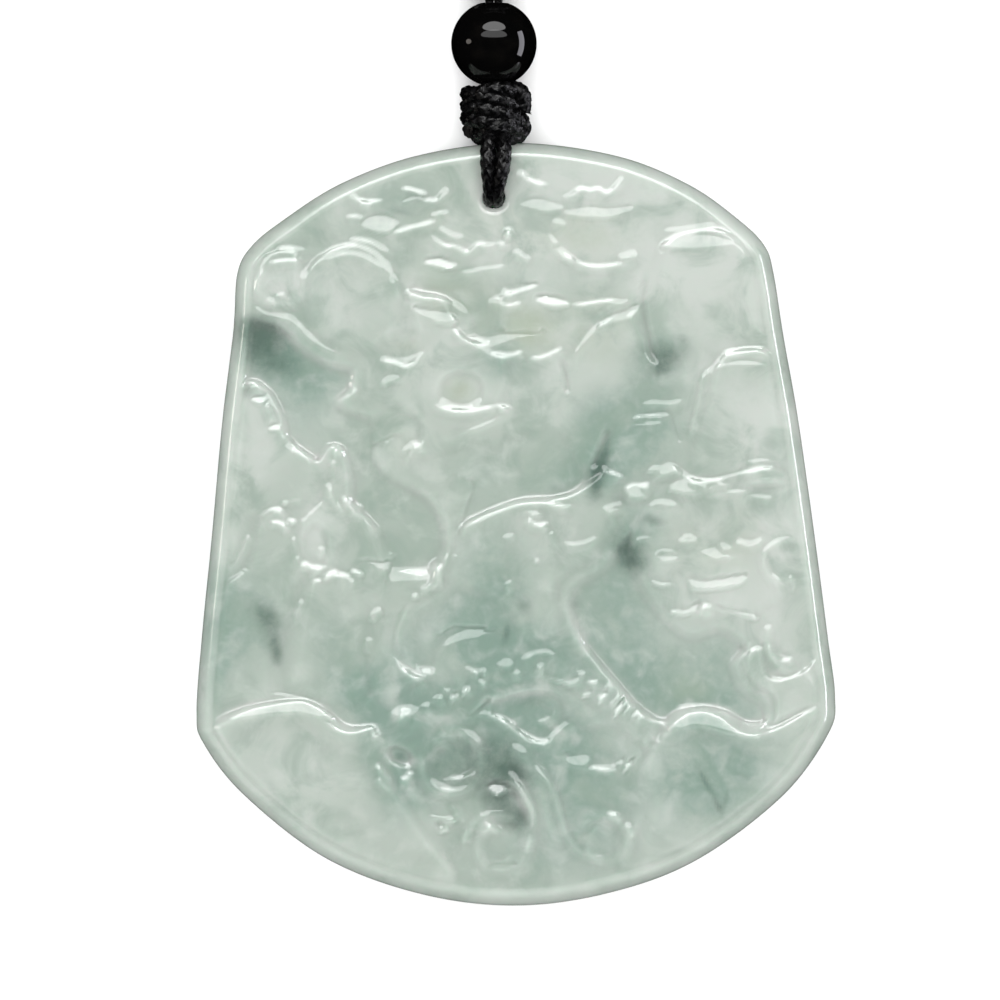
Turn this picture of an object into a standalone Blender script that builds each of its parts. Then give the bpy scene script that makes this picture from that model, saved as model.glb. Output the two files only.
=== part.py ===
"""Landscape pendant of pale jade on a braided cord, lying on its back.

The plaque lies in the XY plane with its back at Z = 0, its carved face up and its top towards +Y.
The origin is under the middle of the plaque, on the surface that it lies on.
The cord goes through the bore at the top, then through a knot, a bead and a second knot, and its
neck loop is put away as a round coil beyond them.
"""
import math

import bmesh
import bpy
import numpy as np
from mathutils import Vector

# Plaque, in metres
PLAQUE_HEIGHT = 0.0580
PLAQUE_WIDTH = 0.0486
RIM_LEVEL = 0.0047
FIELD_LEVEL = 0.0051
RELIEF_DEPTH = 0.0017
FRONT_ROUNDING = 0.0011
FRONT_ROUNDING_DROP = 0.0014
BACK_ROUNDING = 0.0008

# Cord and bead, in metres
STRAND_DIAMETER = 0.0012
LOOP_DIAMETER = 0.0014
PIECE_GAP = 0.0003
BORE_FROM_TOP = 0.0043
BORE_ACROSS = -0.00167
KNOT_LENGTH = 0.0037
KNOT_DIAMETER = 0.0054
BEAD_DIAMETER = 0.0065
UPPER_KNOT_LENGTH = 0.0042
UPPER_KNOT_DIAMETER = 0.0048
NECK_SPREAD = 0.0014
COIL_FROM_KNOT = 0.0175
COIL_MIDDLE_DIAMETER = 0.0136
COIL_TURNS_ACROSS = 4
COIL_TURNS_HIGH = 4
COIL_ROUNDNESS = 0.6

# Sizes that follow from the ones above
BORE_DIAMETER = LOOP_DIAMETER + 2 * PIECE_GAP
GROOVE_DEPTH = LOOP_DIAMETER + PIECE_GAP
BEAD_BORE_DIAMETER = LOOP_DIAMETER + 2 * PIECE_GAP
BORE_UP = PLAQUE_HEIGHT / 2 - BORE_FROM_TOP
KNOT_START = PLAQUE_HEIGHT / 2 + PIECE_GAP
BEAD_MIDDLE_UP = KNOT_START + KNOT_LENGTH + PIECE_GAP + BEAD_DIAMETER / 2
UPPER_KNOT_START = BEAD_MIDDLE_UP + BEAD_DIAMETER / 2 + PIECE_GAP
NECK_START = UPPER_KNOT_START + UPPER_KNOT_LENGTH
COIL_BAND_WIDTH = COIL_TURNS_ACROSS * STRAND_DIAMETER
COIL_BAND_HEIGHT = COIL_TURNS_HIGH * STRAND_DIAMETER
COIL_OUTER_RADIUS = (COIL_MIDDLE_DIAMETER + COIL_BAND_WIDTH) / 2
COIL_MIDDLE_UP = NECK_START + COIL_FROM_KNOT

# Fineness of the meshes
FACE_COLUMNS = 156
FACE_ROWS = 186
PLAQUE_TRIANGLES = 6400
ROUNDING_STEPS = 4
CURVE_STEPS = 6
OUTLINE_STEPS = 24
TURN_STEPS = 20

# The carving's layout: units across and down, with the plaque 642 units wide and 765 high
LAYOUT_WIDTH = 642.0
LAYOUT_HEIGHT = 765.0
LAYOUT_MIDDLE = (516.0, 524.5)

# Outline of the plaque, clockwise from the left shoulder, as four sides that meet at the corners
TOP_SIDE = [(250, 246), (280, 221), (340, 183), (420, 154), (517, 142), (617, 155), (690, 184),
            (740, 219), (766, 245)]
RIGHT_SIDE = [(766, 245), (775, 272), (785, 335), (800, 420), (817, 540), (830, 640), (837, 697),
              (831, 733)]
BOTTOM_SIDE = [(831, 733), (785, 796), (700, 860), (615, 893), (520, 907), (423, 896), (326, 860),
               (243, 796), (202, 744)]
LEFT_SIDE = [(202, 744), (195, 712), (201, 630), (210, 540), (221, 420), (232, 330), (236, 273),
             (250, 246)]


def smooth_line(points, closed=False, steps=CURVE_STEPS):
    """Points along a Catmull-Rom curve through the given ones."""
    given = np.array(points, dtype=float)
    if closed:
        given = np.vstack([given[-1], given, given[0], given[1]])
    else:
        given = np.vstack([2 * given[0] - given[1], given, 2 * given[-1] - given[-2]])
    share = np.linspace(0.0, 1.0, steps, endpoint=False)[:, None]
    runs = []
    for before, start, end, after in zip(given, given[1:], given[2:], given[3:]):
        runs.append(0.5 * (2 * start + (end - before) * share
                           + (2 * before - 5 * start + 4 * end - after) * share ** 2
                           + (3 * start - before - 3 * end + after) * share ** 3))
    if not closed:
        runs.append(given[-2][None, :])
    return np.vstack(runs)


def ease(share):
    """Soft step from 0 to 1 as the share goes from 0 to 1."""
    share = np.clip(share, 0.0, 1.0)
    return share * share * (3.0 - 2.0 * share)


def round_over(share):
    """Quarter-round rise from 0 to 1, steep at first and level at the end."""
    share = np.clip(share, 0.0, 1.0)
    return np.sqrt(1.0 - (1.0 - share) ** 2)


class Relief:
    """Height of the carving over a set of layout points, in shares of the relief's depth."""

    def __init__(self, across, down):
        self.across = across
        self.down = down
        self.height = np.zeros_like(across)

    def near(self, line, reach):
        """Which points lie within a distance of a line's own box."""
        low = line.min(axis=0) - reach
        high = line.max(axis=0) + reach
        inside_across = (self.across > low[0]) & (self.across < high[0])
        return np.nonzero(inside_across & (self.down > low[1]) & (self.down < high[1]))[0]

    def measure(self, chosen, line):
        """Distance to a line, side of it, and share of its length, for the chosen points."""
        x = self.across[chosen]
        y = self.down[chosen]
        lengths = np.hypot(*np.diff(line, axis=0).T)
        starts = np.concatenate([[0.0], np.cumsum(lengths)])
        best = np.full(len(chosen), np.inf)
        side = np.zeros(len(chosen))
        share = np.zeros(len(chosen))
        for start, end, length, run in zip(line, line[1:], lengths, starts):
            along = (end - start) / length
            forward = (x - start[0]) * along[0] + (y - start[1]) * along[1]
            sideways = (x - start[0]) * along[1] - (y - start[1]) * along[0]
            held = np.clip(forward, 0.0, length)
            distance = np.hypot(forward - held, sideways)
            closer = distance < best
            best = np.where(closer, distance, best)
            side = np.where(closer, np.sign(sideways), side)
            share = np.where(closer, (run + held) / starts[-1], share)
        return best, side, share

    def inside(self, chosen, line):
        """Whether each chosen point lies within a closed line."""
        x = self.across[chosen]
        y = self.down[chosen]
        odd = np.zeros(len(chosen), dtype=bool)
        for start, end in zip(line, line[1:]):
            if start[1] == end[1]:
                continue
            crosses = (start[1] > y) != (end[1] > y)
            reach = start[0] + (y - start[1]) * (end[0] - start[0]) / (end[1] - start[1])
            odd ^= crosses & (x < reach)
        return odd

    def area(self, outline, rise, shoulder, profile=ease):
        """Raise, or with a negative rise sink, what lies within a smooth closed outline."""
        line = smooth_line(outline, closed=True)
        line = np.vstack([line, line[:1]])
        chosen = self.near(line, 1.0)
        distance, _, _ = self.measure(chosen, line)
        share = np.where(self.inside(chosen, line), profile(distance / shoulder), 0.0)
        self.height[chosen] += rise * share

    def crest(self, points, rise, back, front):
        """Raise a ridge along a line, with a short fall on its left and a long one on its right."""
        line = smooth_line(points)
        chosen = self.near(line, max(back, front))
        distance, side, share = self.measure(chosen, line)
        reach = np.where(side > 0, back, front)
        taper = ease(np.minimum(share, 1.0 - share) / 0.16)
        self.height[chosen] += rise * taper * ease(1.0 - distance / reach)

    def mound(self, across, down, half_length, half_width, turn, rise):
        """Raise or sink an oval, turned by an angle in degrees."""
        corner = np.array([[across, down]])
        chosen = self.near(corner, half_length)
        x = self.across[chosen] - across
        y = self.down[chosen] - down
        cosine = math.cos(math.radians(turn))
        sine = math.sin(math.radians(turn))
        along = (x * cosine + y * sine) / half_length
        aside = (y * cosine - x * sine) / half_width
        self.height[chosen] += rise * ease(1.4 * (1.0 - np.hypot(along, aside)))


def carve_upper_left(relief):
    """Square knob with a dimple and the round boulder beside it."""
    relief.area([(252, 268), (268, 252), (296, 252), (305, 275), (302, 306), (276, 313),
                 (252, 300)], 0.34, 13)
    relief.mound(283, 290, 14, 12, 0, -0.2)
    relief.area([(304, 268), (325, 250), (352, 243), (382, 254), (400, 282), (403, 322), (390, 350),
                 (352, 357), (320, 344), (303, 318), (299, 292)], 0.42, 40, round_over)
    relief.crest([(306, 276), (325, 258), (352, 250), (380, 262), (397, 290)], 0.16, 8, 20)
    relief.crest([(245, 302), (262, 319), (286, 323), (306, 342), (330, 357), (357, 361)],
                 0.22, 9, 12)


def carve_ridge_chain(relief):
    """Chain of low ridges from the boulder down to the middle, with two oval dimples."""
    relief.area([(357, 364), (372, 342), (386, 312), (402, 292), (425, 295), (450, 302), (460, 330),
                 (480, 347), (505, 358), (512, 384), (505, 402), (512, 412), (496, 430), (462, 442),
                 (430, 449), (405, 456), (417, 440), (414, 422), (396, 413), (366, 409),
                 (347, 401), (357, 384)], 0.34, 9)
    relief.crest([(400, 296), (414, 294), (438, 299), (453, 306), (460, 332), (484, 349),
                  (506, 358)], 0.16, 7, 16)
    relief.mound(400, 347, 31, 14, -12, -0.3)
    relief.mound(459, 391, 26, 22, 0, -0.42)
    relief.crest([(404, 456), (440, 446), (478, 436), (505, 422), (514, 404)], 0.2, 12, 12)


def carve_middle_field(relief):
    """Sunk sky between the ridge chain and the right-hand mountains."""
    relief.area([(407, 290), (412, 272), (440, 276), (480, 277), (516, 272), (540, 284),
                 (500, 300), (506, 309), (545, 303), (567, 312), (566, 344), (545, 356),
                 (518, 356), (492, 348), (468, 336), (458, 310), (436, 297)], -0.34, 12)
    relief.area([(406, 459), (440, 450), (482, 440), (514, 424), (545, 408), (566, 390), (590, 374),
                 (630, 362), (660, 368), (684, 384), (684, 401), (650, 401), (626, 414), (608, 428),
                 (600, 452), (590, 474), (568, 486), (532, 493), (504, 500), (478, 512), (456, 526),
                 (442, 500), (420, 480)], -0.36, 18)


def carve_left_valley(relief):
    """Deep valley that winds from the left edge down the middle."""
    relief.area([(240, 316), (284, 325), (303, 343), (326, 358), (355, 366), (354, 386),
                 (344, 402), (374, 413), (400, 417), (413, 426), (414, 441), (402, 457),
                 (418, 482), (438, 503), (450, 526), (449, 552), (438, 574), (420, 586),
                 (394, 600), (374, 604), (362, 584), (338, 570), (346, 546), (366, 532),
                 (362, 518), (346, 503), (344, 470), (334, 446), (318, 462), (298, 450),
                 (284, 436), (276, 412), (266, 393), (252, 382), (239, 386), (237, 350)],
                -0.62, 11)


def carve_left_mountains(relief):
    """Tall mountain, the hill in front of it, a bell spire, a dimple and the front dome."""
    relief.area([(238, 398), (255, 384), (268, 396), (276, 415), (285, 438), (300, 452), (316, 462),
                 (320, 486), (306, 506), (282, 508), (262, 516), (250, 530), (241, 560),
                 (224, 572), (222, 520), (228, 450)], 0.36, 26, round_over)
    relief.crest([(240, 398), (255, 385), (268, 397), (275, 413), (285, 440), (298, 451),
                  (314, 458)], 0.2, 7, 18)
    relief.area([(262, 517), (283, 509), (296, 528), (299, 552), (312, 572), (300, 590), (288, 622),
                 (280, 660), (274, 702), (236, 706), (208, 706), (208, 650), (216, 592),
                 (240, 566), (250, 532)], 0.4, 34, round_over)
    relief.crest([(241, 566), (250, 532), (262, 517), (283, 510), (294, 528), (299, 556)],
                 0.16, 6, 16)
    relief.area([(334, 447), (342, 470), (346, 496), (366, 517), (350, 528), (334, 566),
                 (318, 572), (300, 556), (296, 526), (304, 515), (320, 498), (326, 472)], 0.36, 9)
    relief.mound(316, 545, 27, 18, 84, -0.4)
    relief.area([(305, 583), (322, 576), (345, 572), (362, 586), (372, 612), (372, 650),
                 (374, 690), (352, 712), (312, 706), (282, 690), (286, 650), (294, 610)],
                0.44, 36, round_over)
    relief.crest([(284, 670), (288, 645), (296, 608), (308, 584), (326, 578), (350, 574),
                  (366, 590), (372, 612)], 0.16, 7, 18)


def carve_pool(relief):
    """Crescent of rock with a leaf-shaped spike, around a deep pool."""
    relief.area([(432, 583), (440, 562), (442, 588), (420, 602), (406, 622), (400, 646),
                 (406, 666), (426, 680), (408, 694), (384, 704), (370, 694), (363, 660),
                 (366, 630), (380, 608), (402, 598)], 0.34, 9)
    relief.area([(412, 612), (440, 592), (452, 584), (480, 596), (506, 612), (514, 636), (494, 652),
                 (462, 660), (436, 675), (416, 671), (404, 652), (403, 630)], -0.5, 13)
    relief.crest([(446, 666), (426, 681), (408, 672), (399, 650), (404, 622), (426, 598)],
                 0.14, 7, 7)


def carve_front_mountain(relief):
    """Middle mountain with its long crest, the bowl on its right and a small inner peak."""
    relief.area([(446, 583), (452, 553), (456, 528), (480, 512), (505, 502), (532, 496),
                 (552, 496), (574, 490), (594, 476), (604, 450), (612, 426), (640, 412),
                 (690, 402), (686, 446), (662, 470), (626, 484), (612, 502), (622, 528),
                 (604, 548), (598, 562), (572, 576), (560, 592), (564, 616), (556, 640),
                 (520, 646), (508, 618), (478, 598)], 0.42, 16)
    relief.crest([(446, 583), (451, 556), (456, 529), (478, 514), (505, 503), (532, 497),
                  (556, 496), (578, 487), (594, 474), (604, 448), (613, 427), (634, 414)],
                 0.24, 7, 16)
    relief.area([(556, 512), (578, 502), (600, 486), (610, 500), (610, 530), (588, 548),
                 (562, 546)], -0.42, 14)
    relief.area([(522, 524), (534, 511), (546, 524), (556, 552), (552, 600), (540, 636),
                 (526, 600), (518, 552)], 0.24, 12)
    relief.crest([(516, 548), (524, 520), (538, 512), (548, 528), (558, 554)], 0.14, 6, 10)
    relief.mound(484, 560, 42, 24, -70, 0.16)
    relief.mound(640, 446, 34, 24, -20, 0.16)


def carve_right_valley(relief):
    """Wide still water to the right of the bridge, the deepest part of the carving."""
    relief.area([(634, 526), (612, 546), (602, 562), (576, 578), (564, 594), (568, 618), (580, 644),
                 (606, 676), (636, 710), (664, 722), (684, 712), (716, 711), (744, 724), (768, 722),
                 (772, 702), (750, 686), (740, 664), (750, 646), (742, 633), (720, 622),
                 (690, 629), (666, 608), (650, 586), (640, 560)], -0.66, 14)
    relief.crest([(562, 588), (566, 616), (578, 644), (604, 676), (640, 716)], 0.16, 8, 7)


def carve_right_mountains(relief):
    """Big dome under the right shoulder, the ridge beside it and the two hills below."""
    relief.area([(650, 262), (664, 238), (692, 229), (726, 226), (750, 238), (764, 262), (771, 310),
                 (779, 346), (744, 348), (716, 356), (702, 378), (688, 390), (664, 372),
                 (650, 348), (643, 304)], 0.44, 46, round_over)
    relief.crest([(652, 262), (668, 240), (700, 231), (728, 230), (750, 240)], 0.16, 7, 22)
    relief.area([(574, 344), (594, 324), (620, 312), (640, 303), (650, 345), (664, 370),
                 (640, 384), (604, 391), (574, 392), (562, 366)], 0.34, 26, round_over)
    relief.crest([(570, 350), (592, 325), (620, 313), (640, 302)], 0.14, 8, 18)
    relief.crest([(650, 266), (643, 304), (651, 348), (666, 372)], -0.2, 7, 7)
    relief.area([(716, 358), (734, 350), (768, 349), (783, 366), (790, 410), (796, 462),
                 (768, 480), (738, 484), (708, 482), (688, 468), (686, 446), (697, 404),
                 (702, 380)], 0.46, 34, round_over)
    relief.crest([(686, 446), (697, 404), (703, 380), (718, 357), (744, 351), (770, 352)],
                 0.2, 7, 18)


def carve_foliage(relief):
    """Tiers of foliage over the water: a base with rounded pads and wavy ledges."""
    relief.area([(618, 500), (642, 482), (674, 466), (702, 478), (744, 470), (776, 466), (797, 482),
                 (805, 530), (793, 548), (800, 590), (768, 614), (744, 630), (720, 620), (692, 628),
                 (668, 607), (652, 584), (642, 560), (638, 528), (614, 532)], 0.28, 8)
    relief.mound(662, 474, 20, 9, -8, 0.26)
    relief.mound(636, 493, 16, 9, -20, 0.24)
    relief.mound(690, 490, 22, 9, 4, 0.24)
    relief.mound(614, 510, 13, 8, -20, 0.2)
    relief.mound(662, 511, 18, 9, 0, 0.22)
    relief.mound(759, 476, 22, 11, 0, 0.26)
    relief.crest([(684, 516), (712, 508), (744, 504), (782, 499)], 0.22, 7, 10)
    relief.crest([(690, 484), (716, 486), (742, 494), (778, 490)], 0.16, 6, 8)
    relief.mound(686, 536, 12, 9, 0, -0.3)
    relief.mound(750, 532, 18, 12, 0, -0.34)
    relief.mound(664, 560, 17, 10, -10, 0.24)
    relief.mound(718, 562, 34, 17, 0, 0.3)
    relief.crest([(648, 572), (668, 585), (694, 580), (720, 585), (750, 576)], 0.2, 8, 7)
    relief.crest([(668, 604), (690, 618), (722, 616), (756, 620)], 0.24, 8, 8)
    relief.mound(784, 566, 24, 15, 80, -0.5)
    relief.mound(786, 641, 27, 17, 80, -0.42)
    relief.crest([(766, 634), (772, 660), (792, 671), (812, 664)], 0.14, 6, 6)


def carve_banks(relief):
    """The two banks in front of the bridge, each with a bright crest."""
    relief.area([(203, 735), (212, 724), (250, 708), (296, 702), (322, 711), (346, 728), (374, 724),
                 (388, 744), (390, 768), (412, 806), (436, 842), (462, 878), (430, 896),
                 (326, 860), (243, 796)], 0.42, 24)
    relief.crest([(206, 728), (250, 710), (296, 703), (320, 711), (346, 729), (372, 725)],
                 0.26, 6, 22)
    relief.area([(655, 736), (668, 727), (690, 714), (718, 716), (744, 730), (772, 726),
                 (806, 708), (834, 700), (831, 733), (785, 796), (700, 860), (640, 884),
                 (634, 852), (642, 812), (636, 770)], 0.38, 24)
    relief.crest([(660, 732), (688, 715), (716, 716), (744, 731), (774, 727)], 0.26, 6, 22)
    relief.area([(742, 664), (752, 648), (764, 650), (772, 676), (800, 672), (828, 650),
                 (836, 700), (800, 714), (774, 724), (772, 700), (752, 686)], 0.28, 10)


BRIDGE_DECK = [(384, 728), (404, 716), (428, 703), (452, 686), (478, 674), (508, 664), (540, 660),
               (572, 668), (598, 686), (622, 706), (642, 728)]
BRIDGE_POSTS = 19
BRIDGE_HALF_WIDTH = 17.0


def carve_bridge(relief):
    """Humped bridge with railing posts and a small roof at its crown."""
    line = smooth_line(BRIDGE_DECK)
    chosen = relief.near(line, BRIDGE_HALF_WIDTH)
    distance, side, share = relief.measure(chosen, line)
    deck = ease((BRIDGE_HALF_WIDTH - distance) / 6.0)
    notch = 0.5 - 0.5 * np.cos(2 * math.pi * BRIDGE_POSTS * share)
    railing = ease(1.0 - np.abs(side * distance - 5.0) / 9.0)
    relief.height[chosen] += 0.44 * deck - 0.2 * notch * railing
    relief.crest([(518, 656), (532, 648), (545, 645), (558, 650), (570, 660)], 0.2, 6, 9)


def curl_line(across, down, radius, start, turns):
    """Points of a spiral that winds inwards from a start angle in degrees."""
    steps = max(6, round(abs(turns) * 12))
    points = []
    for step in range(steps + 1):
        share = step / steps
        angle = math.radians(start + 360 * turns * share)
        reach = radius * (1.0 - 0.7 * share)
        points.append((across + reach * math.cos(angle), down + reach * math.sin(angle)))
    return points


def carve_waves(relief):
    """Hollow under the bridge with curling waves, a stem and a basin."""
    relief.area([(404, 748), (430, 738), (452, 722), (478, 704), (506, 694), (540, 688), (566, 694),
                 (590, 712), (622, 742), (634, 764), (640, 800), (640, 850), (612, 880), (560, 888),
                 (500, 892), (462, 872), (440, 838), (416, 800), (396, 768)], -0.4, 12)
    relief.mound(507, 712, 28, 20, 0, -0.3)
    relief.mound(508, 806, 32, 24, 70, -0.4)
    relief.mound(600, 742, 34, 26, 10, -0.24)
    for across, down, radius, start, turns in [(450, 762, 30, 60, -1.4), (497, 845, 31, -60, 1.4),
                                               (608, 842, 28, 200, 1.2)]:
        relief.crest(curl_line(across, down, radius, start, turns), 0.5, 9, 9)
    relief.crest([(508, 726), (534, 746), (552, 784), (562, 824), (582, 852)], 0.5, 14, 10)
    relief.crest([(463, 712), (486, 702), (504, 722), (530, 742), (560, 740)], 0.4, 8, 8)
    relief.crest([(562, 756), (582, 768), (618, 772), (634, 758)], 0.4, 8, 9)
    relief.mound(442, 822, 18, 14, 20, 0.3)


def carve_clouds(relief):
    """Thin bands of cloud and lens-shaped wisps over the sky."""
    for points in ([(346, 190), (360, 202), (384, 203), (404, 204), (430, 203), (446, 188)],
                   [(398, 190), (412, 198), (428, 195)],
                   [(362, 226), (386, 235), (410, 230), (442, 220)],
                   [(521, 170), (530, 183), (550, 190), (580, 192), (602, 194), (620, 182),
                    (612, 168)],
                   [(431, 232), (440, 245), (466, 254), (482, 246), (504, 242), (514, 250),
                    (528, 262)],
                   [(425, 262), (456, 270), (478, 273), (512, 266)],
                   [(548, 228), (564, 254), (582, 265), (604, 269), (642, 257)],
                   [(500, 304), (526, 305), (542, 297), (562, 299), (602, 305)]):
        relief.crest(points, 0.2, 8, 10)
    for across, down, half_length, half_width, turn in ((379, 224, 20, 8, 0), (541, 207, 20, 7, 4),
                                                        (599, 211, 32, 9, -4), (441, 262, 18, 8, 0),
                                                        (508, 238, 9, 11, 0)):
        relief.mound(across, down, half_length, half_width, turn, 0.16)


CARVING = [carve_left_valley, carve_middle_field, carve_right_valley, carve_upper_left,
           carve_ridge_chain, carve_left_mountains, carve_pool, carve_front_mountain,
           carve_right_mountains, carve_foliage, carve_banks, carve_waves, carve_bridge,
           carve_clouds]


def to_layout(x, y):
    """Layout units of places on the plaque, which are in metres."""
    across = LAYOUT_MIDDLE[0] + x / PLAQUE_WIDTH * LAYOUT_WIDTH
    down = LAYOUT_MIDDLE[1] - y / PLAQUE_HEIGHT * LAYOUT_HEIGHT
    return across, down


def from_layout(points):
    """Places on the plaque in metres, of layout points."""
    points = np.asarray(points, dtype=float)
    x = (points[:, 0] - LAYOUT_MIDDLE[0]) / LAYOUT_WIDTH * PLAQUE_WIDTH
    y = (LAYOUT_MIDDLE[1] - points[:, 1]) / LAYOUT_HEIGHT * PLAQUE_HEIGHT
    return np.column_stack([x, y])


def outline_sides():
    """The four sides of the outline in metres, each a smooth line, fitted to the plaque's size."""
    corners = TOP_SIDE[:-1] + RIGHT_SIDE[:-1] + BOTTOM_SIDE[:-1] + LEFT_SIDE[:-1]
    whole = from_layout(smooth_line(corners, closed=True, steps=OUTLINE_STEPS))
    low = whole.min(axis=0)
    high = whole.max(axis=0)
    size = np.array([PLAQUE_WIDTH, PLAQUE_HEIGHT])
    whole = ((whole - low) / (high - low) - 0.5) * size
    along = np.roll(whole, -1, axis=0) - np.roll(whole, 1, axis=0)
    outward = np.column_stack([-along[:, 1], along[:, 0]])
    outward /= np.hypot(*outward.T)[:, None]
    sides = []
    start = 0
    for side in (TOP_SIDE, RIGHT_SIDE, BOTTOM_SIDE, LEFT_SIDE):
        end = start + (len(side) - 1) * OUTLINE_STEPS
        chosen = np.arange(start, end + 1) % len(whole)
        sides.append((whole[chosen], outward[chosen]))
        start = end
    return sides


def along_side(side, share):
    """Place on a side and the direction outwards there, at shares of the side's length."""
    line, outward = side
    steps = np.concatenate([[0.0], np.cumsum(np.hypot(*np.diff(line, axis=0).T))])
    run = np.asarray(share) * steps[-1]
    place = np.column_stack([np.interp(run, steps, line[:, axis]) for axis in (0, 1)])
    facing = np.column_stack([np.interp(run, steps, outward[:, axis]) for axis in (0, 1)])
    return place, facing / np.hypot(*facing.T)[:, None]


def fit_to_outline(u, v):
    """Spread a square's points over the plaque's face: the place and the direction outwards."""
    top, right, bottom, left = outline_sides()
    above, above_facing = along_side(top, u)
    below, below_facing = along_side(bottom, 1.0 - u)
    right_of, right_facing = along_side(right, 1.0 - v)
    left_of, left_facing = along_side(left, v)
    inset = FRONT_ROUNDING
    above = above - above_facing * inset
    below = below - below_facing * inset
    right_of = right_of - right_facing * inset
    left_of = left_of - left_facing * inset
    u = u[:, None]
    v = v[:, None]
    corners = {}
    for name, side, share in (("top_left", top, 0.0), ("top_right", top, 1.0),
                              ("low_left", bottom, 1.0), ("low_right", bottom, 0.0)):
        place, facing = along_side(side, [share])
        corners[name] = place[0] - facing[0] * inset
    across = v * above + (1 - v) * below
    upward = u * right_of + (1 - u) * left_of
    blend = (v * (u * corners["top_right"] + (1 - u) * corners["top_left"])
             + (1 - v) * (u * corners["low_right"] + (1 - u) * corners["low_left"]))
    return across + upward - blend


def face_heights(x, y):
    """Height of the carved face over places on the plaque, in metres."""
    across, down = to_layout(x, y)
    relief = Relief(across, down)
    for carve in CARVING:
        carve(relief)
    rim = from_layout_outline()
    everywhere = np.arange(len(across))
    edge, _, _ = relief.measure(everywhere, rim)
    field = RIM_LEVEL + (FIELD_LEVEL - RIM_LEVEL) * ease(edge / 40.0)
    lower_fall = ease((down - 790.0) / 110.0)
    calm = ease((edge - 12.0) / 12.0) * (1.0 - 0.5 * lower_fall)
    return field + RELIEF_DEPTH * relief.height * calm - 0.35 * RELIEF_DEPTH * lower_fall


def from_layout_outline():
    """The plaque's whole outline, closed, in layout units."""
    whole = np.vstack([line[:-1] for line, _ in outline_sides()])
    across, down = to_layout(whole[:, 0], whole[:, 1])
    line = np.column_stack([across, down])
    return np.vstack([line, line[:1]])


def nearest_facing(places):
    """Direction outwards of the outline nearest to each of some places."""
    line = np.vstack([side[0][:-1] for side in outline_sides()])
    outward = np.vstack([side[1][:-1] for side in outline_sides()])
    inset = line - outward * FRONT_ROUNDING
    chosen = [int(np.argmin(np.hypot(*(inset - place).T))) for place in places]
    return outward[chosen]


def make_face(mesh):
    """Front of the plaque: a grid fitted to the outline and carved."""
    bmesh.ops.create_grid(mesh, x_segments=FACE_COLUMNS, y_segments=FACE_ROWS, size=0.5)
    flat = np.array([vertex.co[:2] for vertex in mesh.verts]) + 0.5
    places = fit_to_outline(flat[:, 0], flat[:, 1])
    heights = face_heights(places[:, 0], places[:, 1])
    for vertex, place, height in zip(mesh.verts, places, heights):
        vertex.co = (place[0], place[1], height)


def extrude_rim(mesh, moves):
    """Carry the open edge outwards and down through a list of (outwards, height) moves."""
    number = mesh.verts.layers.int.new("rim_number")
    rim = [edge for edge in mesh.edges if edge.is_boundary]
    corners = [vertex for vertex in mesh.verts if vertex.is_boundary]
    facing = nearest_facing(np.array([vertex.co[:2] for vertex in corners]))
    start = [vertex.co.copy() for vertex in corners]
    for index, vertex in enumerate(corners):
        vertex[number] = index
    for outwards, height in moves:
        made = bmesh.ops.extrude_edge_only(mesh, edges=rim)["geom"]
        rim = [piece for piece in made if isinstance(piece, bmesh.types.BMEdge)
               and piece.is_boundary]
        for vertex in (piece for piece in made if isinstance(piece, bmesh.types.BMVert)):
            index = vertex[number]
            x, y = start[index][:2]
            top = start[index].z
            vertex.co = (x + facing[index][0] * outwards, y + facing[index][1] * outwards,
                         height(top))
    bmesh.ops.contextual_create(mesh, geom=rim)


def rim_moves():
    """Moves of the open edge: rounded over, straight down, rounded in under the back."""
    moves = []
    for step in range(1, ROUNDING_STEPS + 1):
        angle = math.pi / 2 * step / ROUNDING_STEPS
        drop = FRONT_ROUNDING_DROP * (1 - math.cos(angle))
        moves.append((FRONT_ROUNDING * math.sin(angle), lambda top, drop=drop: top - drop))
    for step in range(ROUNDING_STEPS + 1):
        angle = math.pi / 2 * step / ROUNDING_STEPS
        outwards = FRONT_ROUNDING - BACK_ROUNDING * (1 - math.cos(angle))
        level = BACK_ROUNDING * (1 - math.sin(angle))
        moves.append((outwards, lambda top, level=level: level))
    return moves


def make_plaque(parts, cutters):
    """The carved stone with its bore and the groove behind it."""
    mesh = bmesh.new()
    make_face(mesh)
    extrude_rim(mesh, rim_moves())
    bmesh.ops.recalc_face_normals(mesh, faces=mesh.faces)
    count = sum(len(face.verts) - 2 for face in mesh.faces)
    plaque = add_object("jade_plaque", mesh, parts, stone_material())
    thin = plaque.modifiers.new("Fewer faces", "DECIMATE")
    thin.ratio = min(1.0, PLAQUE_TRIANGLES / count)
    for cutter in (bore_cutter(cutters), groove_cutter(cutters)):
        cut = plaque.modifiers.new(cutter.name, "BOOLEAN")
        cut.operation = "DIFFERENCE"
        cut.object = cutter
    return plaque


def bore_cutter(cutters):
    """Round bore through the stone."""
    mesh = bmesh.new()
    depth = 2 * (FIELD_LEVEL + RELIEF_DEPTH)
    bmesh.ops.create_cone(mesh, cap_ends=True, segments=TURN_STEPS, radius1=BORE_DIAMETER / 2,
                          radius2=BORE_DIAMETER / 2, depth=depth)
    bmesh.ops.translate(mesh, verts=mesh.verts, vec=(BORE_ACROSS, BORE_UP, depth / 4))
    return add_cutter("bore", mesh, cutters)


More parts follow.
